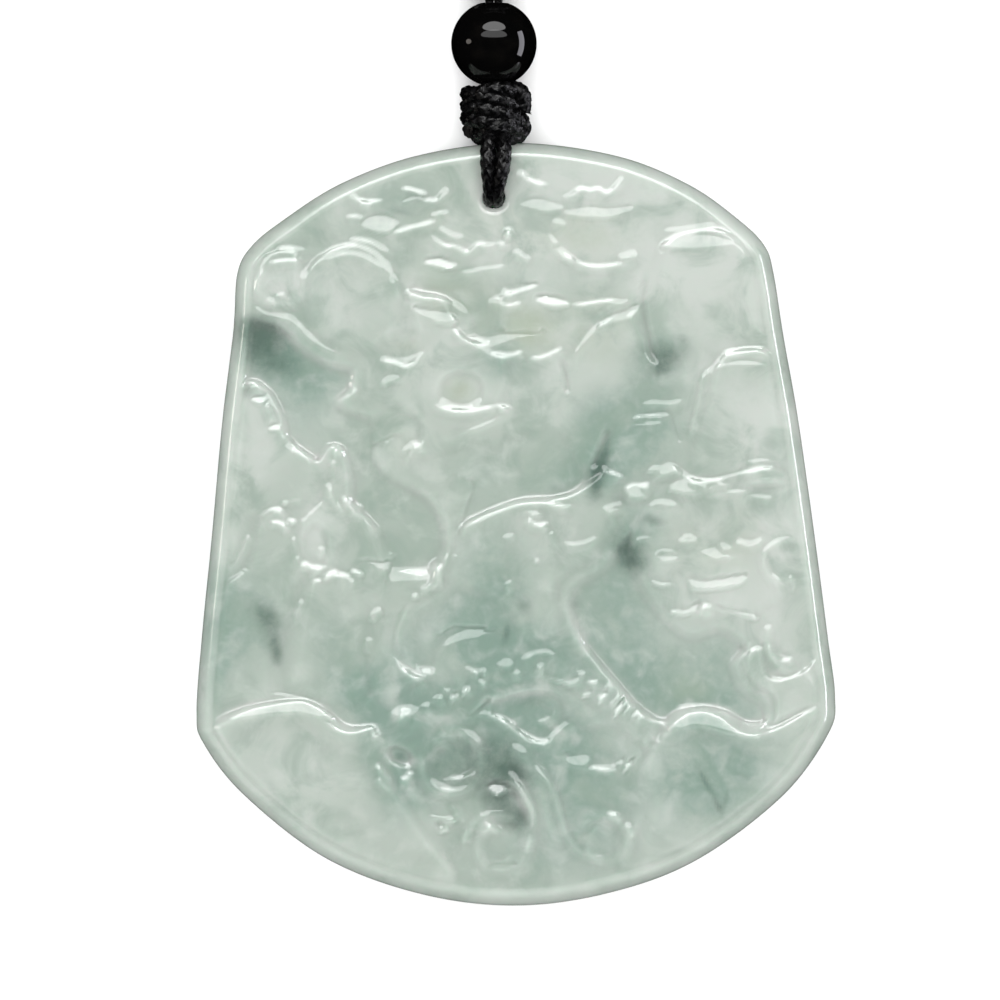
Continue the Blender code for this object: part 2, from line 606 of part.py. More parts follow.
def groove_cutter(cutters):
    """Round-topped groove from the bore over the back to the top edge."""
    mesh = bmesh.new()
    bmesh.ops.create_cube(mesh, size=1.0)
    length = BORE_FROM_TOP + 2 * BORE_DIAMETER
    bmesh.ops.scale(mesh, verts=mesh.verts, vec=(BORE_DIAMETER, length, 2 * GROOVE_DEPTH))
    bmesh.ops.translate(mesh, verts=mesh.verts, vec=(BORE_ACROSS, BORE_UP + length / 2, 0.0))
    upper = [edge for edge in mesh.edges
             if all(vertex.co.z > 0 for vertex in edge.verts)
             and abs(edge.verts[0].co.x - edge.verts[1].co.x) < 1e-6]
    bmesh.ops.bevel(mesh, geom=upper, offset=0.48 * BORE_DIAMETER, segments=6, profile=0.5,
                    affect="EDGES")
    return add_cutter("groove", mesh, cutters)


def loop_route():
    """Route of the doubled strand: from the knot over the face, down the bore and back behind."""
    radius = LOOP_DIAMETER / 2
    clear = radius + PIECE_GAP
    over = FIELD_LEVEL + clear
    end = KNOT_START - PIECE_GAP
    lip = BORE_UP + clear
    return [(BORE_ACROSS, end, RIM_LEVEL + 0.5 * clear),
            (BORE_ACROSS, end - 0.0007, RIM_LEVEL + 1.1 * clear),
            (BORE_ACROSS, end - 0.0019, over + 0.00005),
            (BORE_ACROSS, lip, over + 0.00012),
            (BORE_ACROSS, BORE_UP + 0.00024, FIELD_LEVEL + 0.62 * clear),
            (BORE_ACROSS, BORE_UP, FIELD_LEVEL - 0.4 * clear),
            (BORE_ACROSS, BORE_UP, GROOVE_DEPTH + 0.3 * clear),
            (BORE_ACROSS, BORE_UP + 0.0002, radius + 0.35 * clear),
            (BORE_ACROSS, lip - 0.0001, radius + 0.00002),
            (BORE_ACROSS, end - 0.0012, radius),
            (BORE_ACROSS, end, radius)]


def make_loop(parts):
    """The doubled strand through the bore."""
    route = smooth_line(loop_route(), steps=3)
    route[:, 2] = np.maximum(route[:, 2], LOOP_DIAMETER / 2)
    return add_tube("hanging_loop", route, LOOP_DIAMETER, parts, cord_material())


def turned(name, profile, up, level, parts, material):
    """Turned solid about an axis along Y: the profile is (along, radius), run from +Y to -Y."""
    mesh = bpy.data.meshes.new(name)
    made = bpy.data.objects.new(name, mesh)
    outline = bmesh.new()
    corners = [outline.verts.new((radius, along, 0.0)) for along, radius in profile]
    for start, end in zip(corners, corners[1:]):
        outline.edges.new((start, end))
    outline.to_mesh(mesh)
    outline.free()
    made.location = (BORE_ACROSS, up, level)
    screw = made.modifiers.new("Turned", "SCREW")
    screw.axis = "Y"
    screw.steps = TURN_STEPS
    screw.render_steps = TURN_STEPS
    screw.use_merge_vertices = True
    screw.merge_threshold = 0.00001
    screw.use_normal_calculate = True
    mesh.materials.append(material)
    parts.objects.link(made)
    return made


def knot_profile(length, diameter, rounds):
    """Profile of a knot: rounds of cord side by side, closed at both ends on the axis."""
    profile = [(length / 2, 0.0)]
    steps = rounds * 4
    for step in range(steps + 1):
        share = step / steps
        belly = 0.88 + 0.12 * math.sin(math.pi * share)
        groove = 0.1 * (1 - abs(math.sin(math.pi * rounds * share)))
        profile.append((length / 2 - length * share, diameter / 2 * (belly - groove)))
    profile.append((-length / 2, 0.0))
    return profile


def make_lower_knot(parts):
    """The knot that gathers the strands at the plaque's top edge."""
    profile = knot_profile(KNOT_LENGTH, KNOT_DIAMETER, 3)
    return turned("lower_knot", profile, KNOT_START + KNOT_LENGTH / 2, KNOT_DIAMETER / 2, parts,
                  cord_material())


def make_upper_knot(parts):
    """The knot beyond the bead, from which the neck cord goes out."""
    profile = knot_profile(UPPER_KNOT_LENGTH, UPPER_KNOT_DIAMETER, 3)
    return turned("upper_knot", profile, UPPER_KNOT_START + UPPER_KNOT_LENGTH / 2,
                  UPPER_KNOT_DIAMETER / 2, parts, cord_material())


def make_bead(parts):
    """Round black bead with a bore along the cord."""
    radius = BEAD_DIAMETER / 2
    first = math.asin(BEAD_BORE_DIAMETER / BEAD_DIAMETER)
    steps = 12
    profile = []
    for step in range(steps + 1):
        angle = first + (math.pi - 2 * first) * step / steps
        profile.append((radius * math.cos(angle), radius * math.sin(angle)))
    profile.append(profile[0])
    return turned("bead", profile, BEAD_MIDDLE_UP, radius, parts, bead_material())


def make_bead_strands(parts):
    """The strands inside the bead, between the two knots."""
    reach = BEAD_DIAMETER / 2
    level = BEAD_DIAMETER / 2
    points = [(BORE_ACROSS, BEAD_MIDDLE_UP + share * reach, level)
              for share in (-1.0, -0.6, -0.2, 0.2, 0.6, 1.0)]
    return add_tube("bead_strands", points, LOOP_DIAMETER, parts, cord_material())


def neck_route(side, end_level):
    """Route of one neck strand from the upper knot to where it joins the coil's outer turn."""
    floor = STRAND_DIAMETER / 2
    start = Vector((BORE_ACROSS + side * NECK_SPREAD / 2, NECK_START + PIECE_GAP, 0.0))
    turn_radius = COIL_OUTER_RADIUS - STRAND_DIAMETER / 2
    lean = math.asin(turn_radius / COIL_FROM_KNOT)
    away = Vector((side * math.sin(lean), math.cos(lean), 0.0))
    meeting = math.sqrt((COIL_OUTER_RADIUS + PIECE_GAP) ** 2
                        - (turn_radius - STRAND_DIAMETER / 2) ** 2)
    run = math.sqrt(COIL_FROM_KNOT ** 2 - turn_radius ** 2) - meeting
    knot = Vector((BORE_ACROSS, NECK_START, 0.0))
    middle = UPPER_KNOT_DIAMETER / 2
    places = [(start, middle), (start + Vector((0.0, STRAND_DIAMETER, 0.0)), 0.85 * middle),
              (knot + away * run * 0.42, floor + 0.25 * (middle - floor)),
              (knot + away * run * 0.62, floor), (knot + away * run * 0.8, floor),
              (knot + away * run, end_level)]
    return [(place.x, place.y, level) for place, level in places]


def make_neck_cords(parts):
    """The two ends of the neck loop between the upper knot and the coil."""
    floor = STRAND_DIAMETER / 2
    top = COIL_BAND_HEIGHT - floor
    for name, side, level in (("neck_cord_left", -1, floor), ("neck_cord_right", 1, top)):
        route = smooth_line(neck_route(side, level), steps=3)
        route[:, 2] = np.maximum(route[:, 2], floor)
        add_tube(name, route, STRAND_DIAMETER, parts, cord_material())


def make_coil(parts):
    """Outer shape of the coiled neck loop, lying on the surface."""
    half_width = COIL_BAND_WIDTH / 2
    half_height = COIL_BAND_HEIGHT / 2
    middle = COIL_MIDDLE_DIAMETER / 2
    mesh = bpy.data.meshes.new("cord_coil")
    coil = bpy.data.objects.new("cord_coil", mesh)
    outline = bmesh.new()
    steps = 12
    corners = []
    for step in range(steps):
        angle = -2 * math.pi * (step + 0.5) / steps
        across = math.copysign(abs(math.cos(angle)) ** COIL_ROUNDNESS, math.cos(angle))
        upward = math.copysign(abs(math.sin(angle)) ** COIL_ROUNDNESS, math.sin(angle))
        corners.append(outline.verts.new((middle + half_width * across, 0.0,
                                          half_height + half_height * upward)))
    for start, end in zip(corners, corners[1:] + corners[:1]):
        outline.edges.new((start, end))
    outline.to_mesh(mesh)
    outline.free()
    coil.location = (BORE_ACROSS, COIL_MIDDLE_UP, 0.0)
    screw = coil.modifiers.new("Turned", "SCREW")
    screw.axis = "Z"
    screw.steps = 2 * TURN_STEPS
    screw.render_steps = 2 * TURN_STEPS
    screw.use_merge_vertices = True
    screw.merge_threshold = 0.00001
    screw.use_normal_calculate = True
    mesh.materials.append(cord_material())
    parts.objects.link(coil)
    return coil


def add_object(name, mesh, parts, material):
    """Turn a bmesh into a named object with one material."""
    data = bpy.data.meshes.new(name)
    mesh.to_mesh(data)
    mesh.free()
    data.materials.append(material)
    data.shade_smooth()
    data.set_sharp_from_angle(angle=math.radians(40))
    made = bpy.data.objects.new(name, data)
    parts.objects.link(made)
    return made


def add_cutter(name, mesh, cutters):
    """Turn a bmesh into a hidden cutting object."""
    data = bpy.data.meshes.new(name)
    mesh.to_mesh(data)
    mesh.free()
    made = bpy.data.objects.new(name, data)
    made.hide_render = True
    made.display_type = "WIRE"
    cutters.objects.link(made)
    return made


def add_tube(name, points, diameter, parts, material):
    """Round cord along a list of points, with closed ends."""
    curve = bpy.data.curves.new(name, "CURVE")
    curve.dimensions = "3D"
    curve.bevel_depth = diameter / 2
    curve.bevel_resolution = 2
    curve.use_fill_caps = True
    spline = curve.splines.new("POLY")
    spline.points.add(len(points) - 1)
    for point, place in zip(spline.points, points):
        point.co = (*(float(value) for value in place), 1.0)
    curve.materials.append(material)
    made = bpy.data.objects.new(name, curve)
    parts.objects.link(made)
    return made


def add_material(name, colour, roughness, metallic=0.0):
    """Principled material with plain values, made once for each name."""
    material = bpy.data.materials.get(name)
    if material:
        return material
    material = bpy.data.materials.new(name)
    material.use_nodes = True
    shader = next(node for node in material.node_tree.nodes if node.type == "BSDF_PRINCIPLED")
    shader.inputs["Base Color"].default_value = (*colour, 1.0)
    shader.inputs["Roughness"].default_value = roughness
    shader.inputs["Metallic"].default_value = metallic
    material.diffuse_color = (*colour, 1.0)
    return material


def stone_material():
    """Pale grey-green polished jade."""
    return add_material("pale jade", (0.55, 0.65, 0.55), 0.15)


def cord_material():
    """Black braided cord."""
    return add_material("black cord", (0.012, 0.012, 0.013), 0.7)


def bead_material():
    """Black polished bead."""
    return add_material("black bead", (0.004, 0.004, 0.005), 0.05)


def clear_scene():
    """Remove whatever the scene holds."""
    for made in list(bpy.data.objects):
        bpy.data.objects.remove(made)


def new_collection(name):
    """Add a collection to the scene."""
    collection = bpy.data.collections.new(name)
    bpy.context.scene.collection.children.link(collection)
    return collection


def main():
    """Build the pendant."""
    clear_scene()
    parts = new_collection("Jade plaque")
    cutters = new_collection("Cutters")
    make_plaque(parts, cutters)
    make_loop(parts)
    make_lower_knot(parts)
    make_bead(parts)
    make_bead_strands(parts)
    make_upper_knot(parts)
    make_neck_cords(parts)
    make_coil(parts)


main()
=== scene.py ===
"""Looks of a carved jade pendant on a black braided cord, lying on its back on a pale floor."""
import logging
import math
from contextlib import contextmanager
from dataclasses import dataclass, field
from enum import Enum
from typing import Callable, Iterable, Iterator, Sequence

import bpy
import numpy as np
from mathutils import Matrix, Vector


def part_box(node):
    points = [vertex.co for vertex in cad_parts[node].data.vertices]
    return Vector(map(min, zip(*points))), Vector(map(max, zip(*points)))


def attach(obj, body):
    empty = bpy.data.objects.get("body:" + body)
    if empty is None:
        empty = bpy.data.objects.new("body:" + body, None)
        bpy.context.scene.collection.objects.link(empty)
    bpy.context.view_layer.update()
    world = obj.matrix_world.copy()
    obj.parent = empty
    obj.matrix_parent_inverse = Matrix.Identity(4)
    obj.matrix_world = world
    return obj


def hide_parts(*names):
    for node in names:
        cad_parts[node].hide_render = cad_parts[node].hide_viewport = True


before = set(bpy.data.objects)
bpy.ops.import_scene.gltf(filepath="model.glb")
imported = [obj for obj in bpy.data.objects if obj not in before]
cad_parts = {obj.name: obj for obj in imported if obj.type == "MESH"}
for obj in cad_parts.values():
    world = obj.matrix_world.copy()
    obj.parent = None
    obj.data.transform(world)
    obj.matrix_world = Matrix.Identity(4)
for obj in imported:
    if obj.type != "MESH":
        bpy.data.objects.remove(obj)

LOG = logging.getLogger("jade pendant")
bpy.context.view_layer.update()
BODY = "root"
TINY = 1e-9
MERGE_DISTANCE = 1e-7
MILLIMETRES = 1000.0

Point = tuple[float, float]
Place = tuple[float, float, float]
Colour = tuple[float, float, float]
Array = np.ndarray


class Slot(Enum):
    """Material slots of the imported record."""

    JADE = "jade"
    CORD = "cord"
    BEAD = "bead"


def ease(share: Array | float) -> Array:
    """Give a soft step from 0 to 1 as the share goes from 0 to 1."""
    share = np.clip(share, 0.0, 1.0)
    return share * share * (3.0 - 2.0 * share)


def smooth_line(points: Sequence[Sequence[float]], closed: bool = False, steps: int = 8) -> Array:
    """Run a Catmull-Rom curve through some points.

    Args:
        points: the points that the curve goes through.
        closed: whether the curve returns to its first point.
        steps: how many places to give for each point.

    Returns:
        The places along the curve, one row each.
    """
    given = np.array(points, dtype=float)
    if closed:
        given = np.vstack([given[-1], given, given[0], given[1]])
    else:
        given = np.vstack([2 * given[0] - given[1], given, 2 * given[-1] - given[-2]])
    share = np.linspace(0.0, 1.0, steps, endpoint=False)[:, None]
    runs = []
    for before, start, end, after in zip(given, given[1:], given[2:], given[3:]):
        runs.append(0.5 * (2 * start + (end - before) * share
                           + (2 * before - 5 * start + 4 * end - after) * share ** 2
                           + (3 * start - before - 3 * end + after) * share ** 3))
    if not closed:
        runs.append(given[-2][None, :])
    return np.vstack(runs)


def closed_line(points: Sequence[Point]) -> Array:
    """Run a smooth closed line through some points and repeat its first point at the end."""
    line = smooth_line(points, closed=True)
    return np.vstack([line, line[:1]])


def run_lengths(line: Array) -> Array:
    """Give the length run from the start of a line to each of its points."""
    return np.concatenate([[0.0], np.cumsum(np.linalg.norm(np.diff(line, axis=0), axis=1))])


def even_line(line: Array, spacing: float) -> Array:
    """Place points along a line at an even spacing.

    Args:
        line: the line's own points, one row each.
        spacing: the spacing wanted, which gives way so that it divides the length.

    Returns:
        The new points, one row each.
    """
    runs = run_lengths(line)
    count = max(2, round(runs[-1] / spacing) + 1)
    wanted = np.linspace(0.0, runs[-1], count)
    return np.column_stack([np.interp(wanted, runs, line[:, axis]) for axis in range(line.shape[1])])


def deselect() -> None:
    """Deselect every object."""
    bpy.ops.object.select_all(action="DESELECT")


def activate(piece: bpy.types.Object) -> None:
    """Select one object alone and make it the active one.

    Args:
        piece: the object.
    """
    deselect()
    piece.select_set(True)
    bpy.context.view_layer.objects.active = piece


@contextmanager
def edit_mode() -> Iterator[None]:
    """Work on the active piece's mesh, and leave edit mode afterwards.

    Yields:
        Nothing.
    """
    bpy.ops.object.mode_set(mode="EDIT")
    yield
    bpy.ops.object.mode_set(mode="OBJECT")


def face_outwards() -> None:
    """Turn every face of the mesh in edit mode outwards."""
    bpy.ops.mesh.select_all(action="SELECT")
    bpy.ops.mesh.normals_make_consistent(inside=False)


def settle(piece: bpy.types.Object) -> None:
    """Carry a piece's place, turn and scale into its mesh."""
    activate(piece)
    bpy.ops.object.transform_apply(location=True, rotation=True, scale=True)


def finish_piece(piece: bpy.types.Object, material: bpy.types.Material,
                 replaced: Iterable[str]) -> None:
    """Settle a piece at the origin, dress it and hang it on the body.

    Args:
        piece: the finished piece.
        material: its finish.
        replaced: the frame's nodes that it stands for.
    """
    settle(piece)
    piece.data.materials.clear()
    piece.data.materials.append(material)
    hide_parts(*replaced)
    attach(piece, BODY)
    LOG.info("%s: %d faces", piece.name, len(piece.data.polygons))


@dataclass(frozen=True)
class Layout:
    """The carving's layout: units to the right and down, fitted to the plaque's box."""

    low: Vector
    high: Vector
    width: float = 642.0
    height: float = 765.0
    middle: Point = (516.0, 524.5)

    def to_units(self, x: Array, y: Array) -> tuple[Array, Array]:
        """Give the layout units of places.

        Args:
            x: the places' x in metres.
            y: their y in metres.

        Returns:
            Units to the right and units down.
        """
        across = self.middle[0] + (x - self.centre.x) / (self.high.x - self.low.x) * self.width
        down = self.middle[1] - (y - self.centre.y) / (self.high.y - self.low.y) * self.height
        return across, down

    def to_metres(self, points: Sequence[Sequence[float]]) -> Array:
        """Give the places of layout points.

        Args:
            points: units to the right and down of each point.

        Returns:
            The places' x and y in metres, one row each.
        """
        given = np.asarray(points, dtype=float)
        x = (given[:, 0] - self.middle[0]) / self.width * (self.high.x - self.low.x)
        y = (self.middle[1] - given[:, 1]) / self.height * (self.high.y - self.low.y)
        return np.column_stack([self.centre.x + x, self.centre.y + y])

    @property
    def centre(self) -> Vector:
        """Middle of the plaque's box."""
        return (self.low + self.high) / 2


@dataclass
class Outline:
    """Edge of the plaque as four smooth sides that meet at its corners."""

    layout: Layout
    steps: int = 24
    top: Sequence[Point] = ((250, 246), (280, 221), (340, 183), (420, 154), (517, 142), (617, 155),
                            (690, 184), (740, 219), (766, 245))
    right: Sequence[Point] = ((766, 245), (775, 272), (785, 335), (800, 420), (817, 540),
                              (830, 640), (837, 697), (831, 733))
    bottom: Sequence[Point] = ((831, 733), (785, 796), (700, 860), (615, 893), (520, 907),
                               (423, 896), (326, 860), (243, 796), (202, 744))
    left: Sequence[Point] = ((202, 744), (195, 712), (201, 630), (210, 540), (221, 420),
                             (232, 330), (236, 273), (250, 246))
    line: Array = field(init=False)
    outward: Array = field(init=False)

    def __post_init__(self) -> None:
        """Work out the edge in metres, fitted to the plaque's box, and its outward directions."""
        corners = [*self.top[:-1], *self.right[:-1], *self.bottom[:-1], *self.left[:-1]]
        whole = self.layout.to_metres(smooth_line(corners, closed=True, steps=self.steps))
        low, high = whole.min(axis=0), whole.max(axis=0)
        size = np.array(self.layout.high[:2]) - np.array(self.layout.low[:2])
        self.line = np.array(self.layout.low[:2]) + (whole - low) / (high - low) * size
        along = np.roll(self.line, -1, axis=0) - np.roll(self.line, 1, axis=0)
        outward = np.column_stack([-along[:, 1], along[:, 0]])
        self.outward = outward / np.linalg.norm(outward, axis=1)[:, None]

    def closed_units(self) -> Array:
        """Give the whole edge in layout units.

        Returns:
            The edge's points, one row each, with the first again at the end.
        """
        across, down = self.layout.to_units(self.line[:, 0], self.line[:, 1])
        line = np.column_stack([across, down])
        return np.vstack([line, line[:1]])

    def side(self, number: int, share: Array, inset: float) -> Array:
        """Give places along one side, moved inwards.

        Args:
            number: which side, clockwise from the top.
            share: shares of the side's length.
            inset: how far inside the edge the places lie, in metres.

        Returns:
            The places in metres, one row each.
        """
        counts = [len(side) - 1 for side in (self.top, self.right, self.bottom, self.left)]
        start = sum(counts[:number]) * self.steps
        chosen = np.arange(start, start + counts[number] * self.steps + 1) % len(self.line)
        line = self.line[chosen]
        runs = run_lengths(line)
        moved = line - self.outward[chosen] * inset
        wanted = np.asarray(share) * runs[-1]
        return np.column_stack([np.interp(wanted, runs, moved[:, axis]) for axis in (0, 1)])

    def fit(self, u: Array, v: Array, inset: float) -> Array:
        """Spread the points of a unit square over the face inside the edge.

        Args:
            u: shares from left to right.
            v: shares from the bottom to the top.
            inset: how far inside the edge the face ends, in metres.

        Returns:
            The places in metres, one row each.
        """
        above = self.side(0, u, inset)
        below = self.side(2, 1.0 - u, inset)
        right = self.side(1, 1.0 - v, inset)
        left = self.side(3, v, inset)
        top_left, top_right = self.side(0, np.array([0.0, 1.0]), inset)
        low_right, low_left = self.side(2, np.array([0.0, 1.0]), inset)
        u, v = u[:, None], v[:, None]
        corners = (v * (u * top_right + (1 - u) * top_left)
                   + (1 - v) * (u * low_right + (1 - u) * low_left))
        return v * above + (1 - v) * below + u * right + (1 - u) * left - corners

    def facing(self, places: Array, inset: float) -> Array:
        """Give the outward direction of the edge nearest to each place.

        Args:
            places: places in metres, one row each.
            inset: how far inside the edge they lie.

        Returns:
            The directions, one row each.
        """
        inner = self.line - self.outward * inset
        chosen = [int(np.argmin(np.hypot(*(inner - place).T))) for place in places]
        return self.outward[chosen]


@dataclass
class Relief:
    """Height of the carving over a set of layout points, in shares of the relief's depth."""

    across: Array
    down: Array
    height: Array = field(init=False)

    def __post_init__(self) -> None:
        """Start from a level face."""
        self.height = np.zeros_like(self.across)

    def near(self, line: Array, reach: float) -> Array:
        """Find the points within a distance of a line's own box.

        Args:
            line: the line's points in layout units.
            reach: the distance.

        Returns:
            The indices of the points.
        """
        low, high = line.min(axis=0) - reach, line.max(axis=0) + reach
        within = (self.across > low[0]) & (self.across < high[0])
        return np.nonzero(within & (self.down > low[1]) & (self.down < high[1]))[0]

    def measure(self, chosen: Array, line: Array) -> tuple[Array, Array, Array, Array]:
        """Measure the chosen points against a line.

        Args:
            chosen: indices of the points.
            line: the line's own points in layout units.

        Returns:
            The distance to the line, the side of it (1 to the left as drawn, -1 to the right),
            the share of the line's length at the nearest place, and how far below the point
            that place lies, as a share of the distance.
        """
        x, y = self.across[chosen], self.down[chosen]
        lengths = np.hypot(*np.diff(line, axis=0).T)
        starts = np.concatenate([[0.0], np.cumsum(lengths)])
        best = np.full(len(chosen), np.inf)
        side = np.zeros(len(chosen))
        share = np.zeros(len(chosen))
        below = np.zeros(len(chosen))
        for start, end, length, run in zip(line, line[1:], lengths, starts):
            along = (end - start) / length
            forward = (x - start[0]) * along[0] + (y - start[1]) * along[1]
            sideways = (x - start[0]) * along[1] - (y - start[1]) * along[0]
            held = np.clip(forward, 0.0, length)
            distance = np.hypot(forward - held, sideways)
            closer = distance < best
            best = np.where(closer, distance, best)
            side = np.where(closer, np.sign(sideways), side)
            share = np.where(closer, (run + held) / starts[-1], share)
            drop = (start[1] + along[1] * held - y) / np.maximum(distance, TINY)
            below = np.where(closer, drop, below)
        return best, side, share, below

    def inside(self, chosen: Array, line: Array) -> Array:
        """Tell which of the chosen points lie within a closed line.

        Args:
            chosen: indices of the points.
            line: the line's own points, with the first again at the end.

        Returns:
            A truth value for each chosen point.
        """
        x, y = self.across[chosen], self.down[chosen]
        odd = np.zeros(len(chosen), dtype=bool)
        for start, end in zip(line, line[1:]):
            if start[1] == end[1]:
                continue
            crosses = (start[1] > y) != (end[1] > y)
            reach = start[0] + (y - start[1]) * (end[0] - start[0]) / (end[1] - start[1])
            odd ^= crosses & (x < reach)
        return odd


@dataclass(frozen=True)
class Area:
    """Raised or, with a negative rise, sunk area within a smooth closed outline.

    Its shoulder is how far in its edge reaches. In each soft circle, given by its middle and its
    radius, the edge is long and gentle.
    """

    outline: Sequence[Point]
    rise: float
    shoulder: float
    soft: Sequence[Place] = ()
    firmness: float = 0.40
    calm: float = 0.62
    gentler: float = 18.0
    level_reach: float = 1.6
    steep_gain: float = 1.2
    least_reach: float = 3.0
    margin: float = 1.0

    def carve(self, relief: Relief) -> None:
        """Cut it into the relief.

        Args:
            relief: the relief that it is cut into.
        """
        line = closed_line(self.outline)
        chosen = relief.near(line, self.margin)
        distance, _, _, below = relief.measure(chosen, line)
        facing_up = np.clip(-below if self.rise > 0 else below, 0.0, 1.0)
        share = self.level_reach - self.steep_gain * facing_up
        reach = np.maximum(self.firmness * self.shoulder * share, self.least_reach)
        for across, down, radius in self.soft:
            away = np.hypot(relief.across[chosen] - across, relief.down[chosen] - down)
            reach = reach * (1.0 + self.gentler * np.exp(-(away / radius) ** 2))
        share = np.where(relief.inside(chosen, line), ease(distance / reach), 0.0)
        relief.height[chosen] += self.calm * self.rise * share


@dataclass(frozen=True)
class Ridge:
    """Ridge, or with a negative rise a groove, that falls differently on its two sides.

    The back is its left side as drawn, the front its right one, each given by how far it falls.
    Each end fades over a share of the length, the taper.
    """

    points: Sequence[Point]
    rise: float
    back: float
    front: float
    taper: float = 0.16

    def carve(self, relief: Relief) -> None:
        """Cut it into the relief.

        Args:
            relief: the relief that it is cut into.
        """
        line = smooth_line(self.points)
        chosen = relief.near(line, max(self.back, self.front))
        distance, side, share, _ = relief.measure(chosen, line)
        reach = np.where(side > 0, self.back, self.front)
        fade = ease(np.minimum(share, 1.0 - share) / self.taper)
        relief.height[chosen] += self.rise * fade * ease(1.0 - distance / reach)


@dataclass(frozen=True)
class Oval:
    """Oval pad or, with a negative rise, an oval dimple, turned by an angle in degrees."""

    across: float
    down: float
    half_length: float
    half_width: float
    turn: float
    rise: float
    pad_firmness: float = 1.4
    dimple_firmness: float = 2.6

    def shares(self, across: Array, down: Array) -> tuple[Array, Array]:
        """Give how far some layout points lie along and aside, as shares of the oval's halves.

        Args:
            across: units to the right of each point.
            down: units down of each point.

        Returns:
            The shares along its length and across it, with 0 at its middle.
        """
        x, y = across - self.across, down - self.down
        cosine, sine = math.cos(math.radians(self.turn)), math.sin(math.radians(self.turn))
        return ((x * cosine + y * sine) / self.half_length,
                (y * cosine - x * sine) / self.half_width)

    def carve(self, relief: Relief) -> None:
        """Cut it into the relief.

        Args:
            relief: the relief that it is cut into.
        """
        chosen = relief.near(np.array([[self.across, self.down]]), self.half_length)
        away = np.hypot(*self.shares(relief.across[chosen], relief.down[chosen]))
        firmness = self.pad_firmness if self.rise > 0 else self.dimple_firmness
        relief.height[chosen] += self.rise * ease(firmness * (1.0 - away))


@dataclass(frozen=True)
class Curl:
    """Wave's curl: a raised spiral that winds inwards."""

    across: float
    down: float
    radius: float
    start: float
    turns: float
    rise: float
    width: float
    shrink: float
    steps_a_turn: int = 12

    def carve(self, relief: Relief) -> None:
        """Cut it into the relief.

        Args:
            relief: the relief that it is cut into.
        """
        steps = round(self.turns * self.steps_a_turn)
        points = []
        for step in range(steps + 1):
            share = step / steps
            angle = math.radians(self.start + 360 * self.turns * share)
            reach = self.radius * (1.0 - self.shrink * share)
            points.append((self.across + reach * math.cos(angle),
                           self.down + reach * math.sin(angle)))
        Ridge(points, self.rise, self.width, self.width).carve(relief)


@dataclass(frozen=True)
class Bridge:
    """Humped bridge: a raised band with a rounded lower rim and low railing posts."""

    deck: Sequence[Point] = ((386, 730), (406, 722), (430, 708), (454, 690), (480, 677), (508, 668),
                             (540, 666), (572, 673), (598, 688), (622, 706), (646, 728))
    posts: int = 17
    half_width: float = 18.0
    rise: float = 0.09
    notch_depth: float = 0.05
    rim_place: float = -12.0
    rim_reach: float = 9.0
    rim_rise: float = 0.06
    railing_place: float = 4.0
    railing_reach: float = 10.0
    railing_firmness: float = 1.3
    even_share: float = 0.6
    uneven_share: float = 0.4
    beats: Point = (17.0, 41.0)
    margin: float = 4.0

    def carve(self, relief: Relief) -> None:
        """Cut it into the relief.

        Args:
            relief: the relief that it is cut into.
        """
        line = smooth_line(self.deck)
        chosen = relief.near(line, self.half_width + self.margin)
        distance, side, share, _ = relief.measure(chosen, line)
        deck = ease(1.0 - distance / self.half_width)
        wave = 0.5 - 0.5 * np.cos(2 * math.pi * self.posts * share)
        slow, quick = self.beats
        beat = np.sin(slow * share + 1.0) * np.sin(quick * share)
        uneven = self.even_share + self.uneven_share * beat
        aside = side * distance
        railing = ease(self.railing_firmness
                       * (1.0 - np.abs(aside - self.railing_place) / self.railing_reach))
        rim = ease(1.0 - np.abs(aside - self.rim_place) / self.rim_reach)
        relief.height[chosen] += (self.rise * deck + self.rim_rise * rim
                                  - self.notch_depth * uneven * wave * railing)


@dataclass(frozen=True)
class Facet:
    """Flat facet with a firm edge, tilted so that it looks towards the top of the plaque."""

    outline: Sequence[Point]
    tilt: float
    lean: float = 0.0
    overlap: float = 1.5
    edge: float = 2.5
    margin: float = 3.0

    def carve(self, relief: Relief) -> None:
        """Cut it into the relief in place of what was there.

        Args:
            relief: the relief that it is cut into.
        """
        line = closed_line(self.outline)
        chosen = relief.near(line, self.margin)
        distance = relief.measure(chosen, line)[0]
        within = np.where(relief.inside(chosen, line), distance, -distance)
        share = ease((within + self.overlap) / self.edge)
        if not share.any():
            return
        across, down = line.mean(axis=0)
        height = relief.height[chosen]
        plane = (np.average(height, weights=share) + self.tilt * (relief.down[chosen] - down)
                 + self.lean * (relief.across[chosen] - across))
        relief.height[chosen] = height * (1.0 - share) + plane * share


# Tilts of facets: bright ones mirror the key softbox, dull ones and glints the dim reflector
BRIGHT = 0.019
DULL = 0.0098
DOME_GLINT = 0.0075
LENS_GLINT = 0.008
WATER_GLINT = 0.036

# How far a polished lip falls behind and in front, and the share of its length where it fades
LIP_BACK = 4.0
LIP_FRONT = 9.0
LIP_TAPER = 0.25
Feature = Area | Ridge | Oval | Curl | Bridge | Facet


def lips(rise: float, *lines: Sequence[Point]) -> tuple[Ridge, ...]:
    """Give thin polished lips, steep above and long below, along some lines."""
    return tuple(Ridge(line, rise, LIP_BACK, LIP_FRONT, LIP_TAPER) for line in lines)


